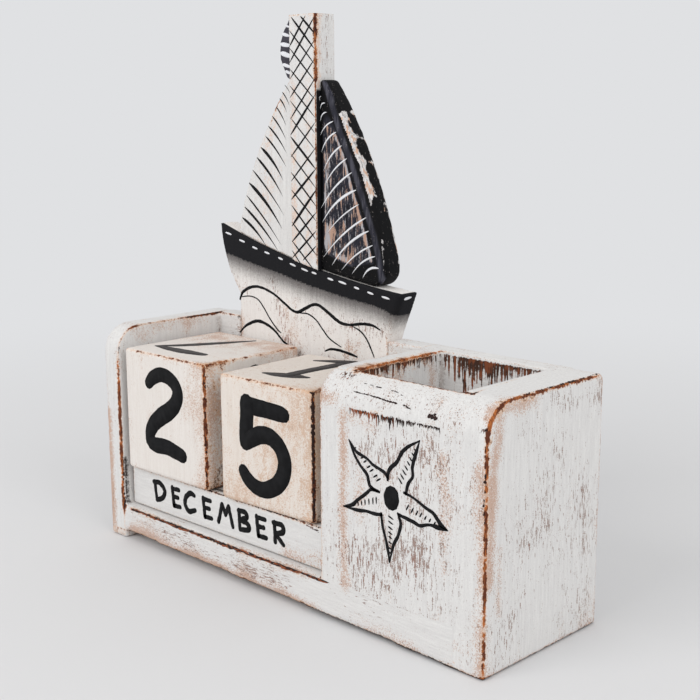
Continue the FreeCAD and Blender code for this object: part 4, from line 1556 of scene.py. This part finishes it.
def star_ticks():
    """Short marks across each arm of the star, shorter towards its tip."""
    marks = []
    middle = np.array(STAR_MIDDLE)
    for tip in STAR_TIPS:
        arm = np.array(tip) - middle
        reach = np.linalg.norm(arm)
        ahead = arm / reach
        side = np.array([-ahead[1], ahead[0]])
        for i in range(TICKS_PER_ARM):
            share = TICKS_FROM + TICKS_OVER * i / (TICKS_PER_ARM - 1)
            spot = middle + arm * share
            half = TICK_HALF * (1 - share) ** 0.6
            aside = (side + TICK_LEAN * ahead) * half
            marks.append((tuple(spot - aside), tuple(spot + aside), TICK_WIDTH))
    return marks


def paint_star(black):
    face = front_face(FRONT_Y + FACE_INSET)
    solids = [stroke_solid(face, [(u, v, STAR_BREADTH * w) for u, v, w in stroke], 0.3,
                           seed=13 * i, spacing=0.4)
              for i, stroke in enumerate(STAR_OUTLINES)]
    solids.append(stroke_solid(face, STAR_BUD, 0.04, seed=3))
    ticks = laid_marks(face, star_ticks(), black, taper=0.3, scatter=0.5, seed=4)
    mesh = gathered("painted_star", [joined("star_lines", solids), ticks])
    finished("painted_star", mesh, BOX, black, "whitewashed_board")


# ---- scrapes in the paint above the star and along the base
COMB_ENDS = (40.0, 77.5)
COMB_HEIGHTS = (74.6, 74.9)
COMB_PITCH = 0.3
COMB_ORANGE_TO = 53.0            # the scrape shows orange wood up to here
COMB_ORANGE_SHARE = 0.68
COMB_LONG_SHARE = 0.14           # of the strokes reach far down
COMB_BREAKS = ((52.6, 53.4), (59.0, 59.6), (63.3, 63.8), (67.6, 68.2), (70.6, 71.2))
# thin scratches above it: start (x, z), end (x, z), width
SCRATCHES = [((40.2, 79.9), (52, 79.5), 0.5), ((48, 79.6), (59.3, 79.1), 0.65),
             ((53, 79.2), (58, 79.0), 0.4), ((61.8, 79.1), (63.6, 78.9), 0.6),
             ((63, 78.8), (65.2, 78.2), 0.5), ((42.6, 82.4), (44, 82.5), 0.35),
             ((45.4, 82.4), (47, 82.4), 0.35), ((48, 82.3), (50.6, 82.2), 0.45),
             ((54.6, 82.1), (58, 82.0), 0.4), ((59, 81.6), (60, 81.4), 0.35),
             ((72.2, 77.6), (75.2, 78.6), 1.2), ((72.2, 77.5), (76, 77.4), 1.3)]
# the long scrape near the base's top edge, as (x, z)
RAIL_SCRAPE = ((-81.4, 13.6), (-70.9, 13.4), (-58.9, 13.0), (-43.6, 13.2), (-29.1, 13.0),
               (-15.1, 12.7), (-3.3, 12.9), (8.6, 13.1), (18.6, 13.3), (25.4, 13.6))
RAIL_CLEAR = 0.3                 # and how far it keeps below the base's top


def rounded_face(z):
    """A strip of the pen well's front at height z, round its rounded top edge."""
    rise = max(0.0, z - (WALL_TOP - CORNER_ROUND)) / CORNER_ROUND
    angle = math.asin(min(rise, 1.0))
    reach = CORNER_ROUND - FACE_INSET
    y = FRONT_Y + CORNER_ROUND - reach * math.cos(angle)
    height = z if rise == 0.0 else WALL_TOP - CORNER_ROUND + reach * math.sin(angle)
    return Face((0, y, height), (1, 0, 0), (0, math.sin(angle), math.cos(angle)),
                (0, -math.cos(angle), math.sin(angle)))


def comb_marks():
    """Short upright strokes side by side, as (dark, orange) lists."""
    chance = np.random.default_rng(17)
    dark, orange = [], []
    for x in np.arange(*COMB_ENDS, COMB_PITCH):
        if any(low < x < high for low, high in COMB_BREAKS):
            continue
        share = (x - COMB_ENDS[0]) / (COMB_ENDS[1] - COMB_ENDS[0])
        body = 0.45 + 0.55 * math.sin(math.pi * min(1.0, share * 1.15 + 0.05))
        top = (COMB_HEIGHTS[1] - COMB_HEIGHTS[0]) * share + chance.uniform(-0.45, 0.35) * body
        drop = chance.uniform(1.0, 2.3) * body
        if chance.uniform() < COMB_LONG_SHARE:
            drop *= 1.9
        mark = ((x, top), (x + chance.uniform(-0.2, 0.2), top - drop), chance.uniform(0.3, 0.55))
        is_orange = (x + chance.uniform(-8, 6) < COMB_ORANGE_TO
                     and chance.uniform() < COMB_ORANGE_SHARE)
        (orange if is_orange else dark).append(mark)
    return dark, orange


def torn(first, last, width, seed):
    """A scratch as a run of short pieces of uneven width."""
    chance = np.random.default_rng(seed)
    run = np.array(last) - np.array(first)
    count = max(1, round(np.linalg.norm(run) / 1.1))
    pieces = []
    for k in range(count):
        ends = [np.array(first) + run * min(1.0, (k + offset) / count)
                for offset in (chance.uniform(-0.2, 0.1), chance.uniform(0.9, 1.5))]
        pieces.append((tuple(ends[0]), tuple(ends[1]), width * chance.uniform(0.6, 1.5)))
    return pieces


def rail_marks():
    """Torn strokes along the scrape in the base, as (dark, brown) lists."""
    chance = np.random.default_rng(23)
    path_x, path_z = zip(*RAIL_SCRAPE)
    dark, brown = [], []
    for marks, pitch, spread, width in ((dark, 0.9, 0.5, 1.35), (brown, 1.9, 0.8, 1.7)):
        for x in np.arange(path_x[0], path_x[-1], pitch):
            x += chance.uniform(-0.8, 0.8)
            length = chance.uniform(1.6, 5.5)
            heights = [np.interp(v, path_x, path_z) + chance.uniform(-spread, spread)
                       for v in (x, x + length)]
            body = 0.55 + 0.45 * math.sin(x * 0.21) ** 2
            size = width * body * chance.uniform(0.5, 1.2)
            # no stroke stands above the base, where the bars slide over it
            heights = [min(height, BASE_TOP - RAIL_CLEAR - size / 2) for height in heights]
            marks.append(((x, heights[0]), (x + length, heights[1]), size))
    return dark, brown


def scrape_boards(dark_paint, brown_paint):
    slot = "whitewashed_board"
    comb, base = rounded_face(COMB_HEIGHTS[0]), front_face(FRONT_Y + FACE_INSET)
    dark_comb, brown_comb = comb_marks()
    dark_rail, brown_rail = rail_marks()
    parts = [laid_marks(comb, dark_comb, dark_paint, taper=0.6, scatter=0.1, seed=3)]
    for i, (first, last, width) in enumerate(SCRATCHES):
        height = (first[1] + last[1]) / 2
        lines = torn((first[0], first[1] - height), (last[0], last[1] - height), width, i)
        parts.append(laid_marks(rounded_face(height), lines, dark_paint, taper=0.7, scatter=0.25,
                                seed=i))
    finished("pen_front_scrapes", gathered("scrapes", parts), BOX, dark_paint, slot)
    paint_marks("pen_front_brown_scrapes", comb, brown_comb, brown_paint, slot, taper=0.6,
                scatter=0.1, seed=4)
    paint_marks("base_scrapes", base, dark_rail, dark_paint, slot, taper=0.7, scatter=0.2, seed=7)
    paint_marks("base_brown_scrapes", base, brown_rail, brown_paint, slot, taper=0.7,
                scatter=0.2, seed=7)


# ---- the lines on the boat
WAVE_LINES = [
    [(-72.2, 91.5, 0.8), (-70.3, 94.6, 1.3), (-65.9, 96.9, 1.2), (-61.6, 97.7, 1.1),
     (-56.9, 97.2, 1.0), (-51.0, 95.4, 1.0), (-45.3, 92.5, 1.0), (-41.3, 90.5, 1.0),
     (-38.0, 90.1, 1.2), (-34.0, 91.9, 1.3), (-30.1, 93.7, 1.2), (-26.8, 94.1, 1.2),
     (-23.0, 92.6, 1.3), (-18.8, 90.4, 1.4), (-14.6, 88.7, 1.2), (-9.8, 88.5, 1.0),
     (-3.7, 89.6, 1.1), (1.4, 89.7, 1.0), (5.4, 88.5, 0.5)],
    [(-72.2, 92.4, 0.4), (-66.0, 93.4, 0.5), (-61.2, 92.5, 0.55), (-57.7, 89.5, 0.6),
     (-54.2, 85.5, 0.6), (-50.2, 82.0, 0.6), (-47.9, 80.7, 0.4)],
    [(-72.7, 77.9, 0.5), (-68.2, 81.4, 1.1), (-62.0, 83.7, 1.3), (-56.7, 83.2, 1.2),
     (-51.4, 81.0, 1.0), (-46.8, 77.6, 0.9), (-44.5, 76.7, 0.6)],
    [(-36.8, 89.9, 0.4), (-32.4, 90.0, 0.6), (-28.0, 88.2, 0.6), (-24.2, 84.8, 0.6),
     (-20.5, 81.8, 0.6), (-14.6, 79.5, 0.4)],
    [(-8.8, 88.2, 0.4), (-4.7, 86.9, 0.6), (-1.7, 84.6, 0.65), (0.4, 81.6, 0.7),
     (2.4, 78.1, 0.5)],
    [(-23.2, 76.8, 0.5), (-20.0, 78.0, 0.9), (-15.2, 78.1, 1.0), (-9.9, 77.5, 1.0),
     (-6.3, 76.9, 0.7)],
]
DASHES = [((-80.4, 117.9), (-76.6, 117.2)), ((-72.0, 115.5), (-68.5, 114.8)),
          ((-64.1, 113.5), (-60.9, 112.8)), ((-56.9, 111.9), (-53.9, 111.3)),
          ((-48.9, 110.3), (-46.2, 109.7)), ((-42.3, 108.7), (-38.9, 107.9)),
          ((-35.9, 107.4), (-32.1, 106.6)), ((-30.2, 106.2), (-27.5, 105.8)),
          ((-21.6, 104.8), (-18.5, 104.3)), ((-15.9, 104.1), (-11.7, 103.4)),
          ((-7.8, 102.8), (-5.1, 102.3)), ((-1.0, 101.8), (2.1, 101.2)),
          ((6.1, 100.9), (10.0, 100.4))]
DASH_WIDTH = 0.85
# how the hull's end slopes out as it rises, and the dash across its top
STERN_LEAN = (0.371, 0.928)
END_DASH = ((23.2, -2.2), (27.0, -1.8), 1.5)
# lines across the mast: height at its left edge, at its right edge, width
HATCH_LINES = [
    (205.7, 193.6, 0.6), (201.6, 188.1, 0.6), (195.7, 182.6, 0.45), (189.4, 176.7, 0.45),
    (181.8, 170.0, 0.4), (175.7, 163.6, 0.4), (170.3, 157.8, 0.35), (164.0, 151.7, 0.35),
    (157.1, 144.9, 0.7), (150.6, 137.9, 0.4), (143.8, 131.2, 0.5), (137.2, 125.6, 0.45),
    (131.5, 118.5, 0.5), (125.0, 112.8, 0.5), (118.0, 106.0, 0.45), (114.3, 100.0, 0.35),
    (189.1, 206.3, 0.6), (183.4, 200.0, 0.6), (177.5, 191.8, 0.45), (170.7, 185.1, 0.5),
    (162.9, 178.2, 0.5), (157.0, 172.3, 0.7), (148.9, 162.5, 0.5), (139.8, 153.1, 0.45),
    (133.0, 145.4, 0.7), (123.0, 137.9, 0.8), (117.0, 129.5, 0.6), (110.9, 122.7, 0.55),
    (105.5, 117.0, 0.45), (104.3, 110.8, 0.6)]
SAIL_STROKES = [
    ((-44.3, 175.8), (-41.3, 172.6), 0.3), ((-45.7, 173.2), (-41.7, 168.0), 0.5),
    ((-47.2, 170.8), (-43.4, 165.6), 0.6), ((-49.2, 167.7), (-43.8, 160.6), 0.6),
    ((-51.6, 164.3), (-43.9, 155.4), 0.7), ((-53.8, 160.5), (-43.7, 150.4), 0.8),
    ((-55.6, 156.7), (-44.1, 145.3), 0.8), ((-58.3, 152.3), (-45.9, 140.1), 1.3),
    ((-60.8, 148.4), (-46.1, 133.8), 1.1), ((-63.5, 143.5), (-45.7, 126.8), 0.8),
    ((-65.7, 138.4), (-46.9, 121.5), 1.5), ((-67.4, 133.4), (-47.6, 115.3), 0.8),
    ((-68.7, 128.8), (-49.4, 112.8), 1.1), ((-70.3, 124.5), (-56.4, 114.2), 1.2)]
WHITE_STROKES = [
    ((-24.7, 171.6), (-25.2, 169.8), 0.5), ((-22.6, 169.1), (-25.1, 166.9), 0.7),
    ((-21.9, 165.8), (-25.1, 162.6), 0.8), ((-18.5, 162.5), (-25.2, 157.5), 0.8),
    ((-17.0, 158.7), (-24.7, 151.4), 1.0), ((-14.2, 153.9), (-23.7, 144.5), 1.0),
    ((-11.7, 149.3), (-23.0, 139.4), 0.9), ((-9.2, 144.4), (-25.2, 130.7), 1.1),
    ((-7.0, 138.2), (-24.5, 125.6), 1.5), ((-5.7, 133.1), (-22.1, 121.7), 0.8),
    ((-2.0, 128.6), (-24.1, 112.5), 1.1), ((-0.8, 123.8), (-19.6, 109.9), 1.4),
    ((1.2, 118.8), (-14.6, 108.5), 0.9), ((2.4, 114.9), (-9.2, 107.5), 1.0),
    ((4.2, 110.7), (-3.8, 106.5), 1.3)]
PENNANT_STRIPES = [((-43.6, 197.4), (-40.6, 196.6), 1.1), ((-45.2, 194.4), (-40.9, 193.5), 1.8),
                   ((-46.4, 190.8), (-40.0, 189.9), 2.3), ((-46.4, 187.6), (-39.3, 185.8), 2.7),
                   ((-45.3, 183.4), (-40.1, 182.1), 1.9), ((-43.8, 180.9), (-40.4, 179.7), 1.6)]

HATCH_BREADTH = 1.7              # the listed widths are drawn this much broader
SAIL_BREADTH = 1.5


def hatch_marks():
    """Crossing lines down the front of the mast, kept clear of its edges."""
    ends = MAST[0][0] + 0.3, MAST[1][0] - 0.3
    width = MAST[1][0] - MAST[0][0]
    top = MAST[1][2] - 0.8
    marks = []
    for left, right, thick in HATCH_LINES:
        slope = (right - left) / width
        spots = []
        for x in ends:
            z = left + slope * (x - MAST[0][0])
            lowest = gunwale_at(x) + 0.5
            held = min(max(z, lowest), top)
            spots.append((x + (held - z) / slope, held))
        marks.append((spots[0], spots[1], HATCH_BREADTH * thick))
    return marks


def gunwale_at(x):
    """Height of the hull's curved top edge, by how far along the hull x is."""
    share = (x - HULL[0][0]) / (HULL[1][0] - HULL[0][0])
    bow, stern = HULL[1][2], WALL_TOP + STERN_RISE
    return bow + (stern - bow) * share - 4 * SHEER_SAG * share * (1 - share)


def paint_boat(black, white):
    hull = front_face(WALL_Y + COPY_INSET)
    paint_strokes("wave_lines", hull, WAVE_LINES, BOX, black, "hull_paint", unevenness=0.3,
                  spacing=0.5)
    dashes = laid_marks(hull, [(a, b, DASH_WIDTH) for a, b in DASHES], white, taper=0.0,
                        scatter=0.3, seed=8)
    stern = Face((HULL[1][0] - COPY_INSET, 0, WALL_TOP + STERN_RISE), (0, 1, 0),
                 (STERN_LEAN[0], 0, STERN_LEAN[1]), (STERN_LEAN[1], 0, -STERN_LEAN[0]))
    end_dash = laid_marks(stern, [END_DASH], white, taper=0.3)
    finished("gunwale_dashes", gathered("dashes", [dashes, end_dash]), BOX, white, "hull_paint")
    paint_marks("mast_hatching", front_face(MAST[0][1] + COPY_INSET), hatch_marks(), black,
                "mast_paint", taper=0.2, scatter=0.2, seed=5)
    sails = front_face(LEFT_SAIL[0][1] + COPY_INSET)
    broad = [(head, tail, SAIL_BREADTH * width) for head, tail, width in SAIL_STROKES]
    paint_marks("left_sail_strokes", sails, broad, black, "white_sail_paint", bow=0.5, taper=0.8,
                seed=6)
    paint_marks("right_sail_strokes", sails, WHITE_STROKES, white, "black_sail_paint", bow=-1.2,
                taper=0.7, seed=7)
    paint_marks("pennant_stripes", sails, PENNANT_STRIPES, white, "pennant_paint", taper=0.4,
                seed=9)


# ---------------------------------------------------------------- surroundings
# the view: degrees round the object, above it and of lean, and millimetres
AZIMUTH, ELEVATION, LEAN = 44.603, 11.270, -0.273
TARGET = (40.39, -30.0, 93.31)
DISTANCE = 387.06
FOCAL_LENGTH = 63.69
SENSOR_WIDTH = 36.0
# each lamp's place and size in metres, and its power in watts
LAMPS = {"key": ((-0.25, -1.3, 0.95), 1.1, 8.4), "side": ((1.4, -0.3, 0.8), 1.0, 5.6)}
LAMP_AIM = (0, 0, 0.08)
SKY_STRENGTH = 0.74
BACKGROUND = tint(224, 225, 227)
PAPER = tint(222, 222, 223)
FLOOR_RADIUS = 3.0
FADE = (0.14, 0.6)               # the floor fades between these distances in metres


def set_camera():
    azimuth, height, lean = [math.radians(v) for v in (AZIMUTH, ELEVATION, LEAN)]
    right = Vector((math.cos(azimuth), math.sin(azimuth), 0))
    back = Vector((math.sin(azimuth) * math.cos(height),
                   -math.cos(azimuth) * math.cos(height), math.sin(height)))
    up = back.cross(right)
    across = right * math.cos(lean) + up * math.sin(lean)
    upward = up * math.cos(lean) - right * math.sin(lean)
    lens = bpy.data.cameras.new("camera")
    lens.lens = FOCAL_LENGTH
    lens.sensor_width = SENSOR_WIDTH
    lens.sensor_fit = "HORIZONTAL"
    lens.clip_start = 0.01
    lens.clip_end = 20.0
    camera = bpy.data.objects.new("camera", lens)
    turn = Matrix((across, upward, back)).transposed()
    place = Vector(TARGET) * MM + back * (DISTANCE * MM)
    camera.matrix_world = Matrix.Translation(place) @ turn.to_4x4()
    SCENE.collection.objects.link(camera)
    SCENE.camera = camera


def add_lights():
    for name, (place, size, watts) in LAMPS.items():
        lamp = bpy.data.lights.new(name, "AREA")
        lamp.shape = "DISK"
        lamp.size = size
        lamp.energy = watts
        light = bpy.data.objects.new(name, lamp)
        direction = Vector(LAMP_AIM) - Vector(place)
        turn = direction.to_track_quat("-Z", "Y").to_matrix().to_4x4()
        light.matrix_world = Matrix.Translation(Vector(place)) @ turn
        SCENE.collection.objects.link(light)


def set_world():
    """An even pale light, and the plain backdrop colour behind the object."""
    world = bpy.data.worlds.new("studio")
    SCENE.world = world
    world.use_nodes = True
    tree = world.node_tree
    tree.nodes.clear()
    light = add_node(tree, "ShaderNodeBackground", {
        "Color": (1, 1, 1, 1), "Strength": SKY_STRENGTH})
    backdrop = add_node(tree, "ShaderNodeBackground", {"Color": BACKGROUND})
    rays = add_node(tree, "ShaderNodeLightPath").outputs
    seen = rays["Is Camera Ray"]
    for kind in ("Is Glossy Ray", "Is Transmission Ray"):
        seen = add_node(tree, "ShaderNodeMath", {0: seen, 1: rays[kind]},
                        operation="MAXIMUM").outputs[0]
    choice = add_node(tree, "ShaderNodeMixShader", {
        0: seen, 1: light.outputs[0], 2: backdrop.outputs[0]})
    add_node(tree, "ShaderNodeOutputWorld", {"Surface": choice.outputs[0]})


def make_floor():
    """A wide pale floor that fades into the backdrop colour."""
    bm = bmesh.new()
    bmesh.ops.create_circle(bm, cap_ends=True, segments=96, radius=FLOOR_RADIUS)
    mesh = bpy.data.meshes.new("floor")
    bm.to_mesh(mesh)
    bm.free()
    floor = bpy.data.objects.new("floor", mesh)
    SCENE.collection.objects.link(floor)
    r = Recipe("floor_paper", roughness=0.9, specular=0.1)
    r.shader.inputs["Base Color"].default_value = PAPER
    reach = r.node("ShaderNodeVectorMath", {0: r.coordinates}, operation="LENGTH")
    glow = r.node("ShaderNodeEmission", {"Color": BACKGROUND})
    choice = r.node("ShaderNodeMixShader", {
        0: r.step(reach.outputs["Value"], *FADE), 1: r.shader.outputs[0], 2: glow.outputs[0]})
    r.tree.links.new(choice.outputs[0], r.output.inputs["Surface"])
    mesh.materials.append(r.material)


make_box()
make_boat()
make_cubes()
make_bars()
BLACK = plain_paint("black_brush_paint", (13, 13, 15), (120, 112, 108), -0.02, roughness=0.7)
FADED = plain_paint("faded_black_paint", (58, 55, 55), (150, 144, 138), 0.06, shift=9)
SCRAPED = plain_paint("scraped_dark", (48, 34, 31), (120, 84, 70), 0.08, roughness=0.8, shift=12)
RUSTED = plain_paint("scraped_brown", (140, 78, 50), (200, 150, 120), 0.1, roughness=0.8,
                     shift=14)
WHITE = plain_paint("white_brush_paint", (228, 229, 233), (150, 150, 155), shift=4)
paint_cubes(BLACK, FADED)
paint_bars(BLACK)
paint_star(BLACK)
scrape_boards(SCRAPED, RUSTED)
paint_boat(BLACK, WHITE)
finish_fixings()
set_camera()
set_world()
add_lights()
make_floor()
SCENE.view_settings.view_transform = "Standard"
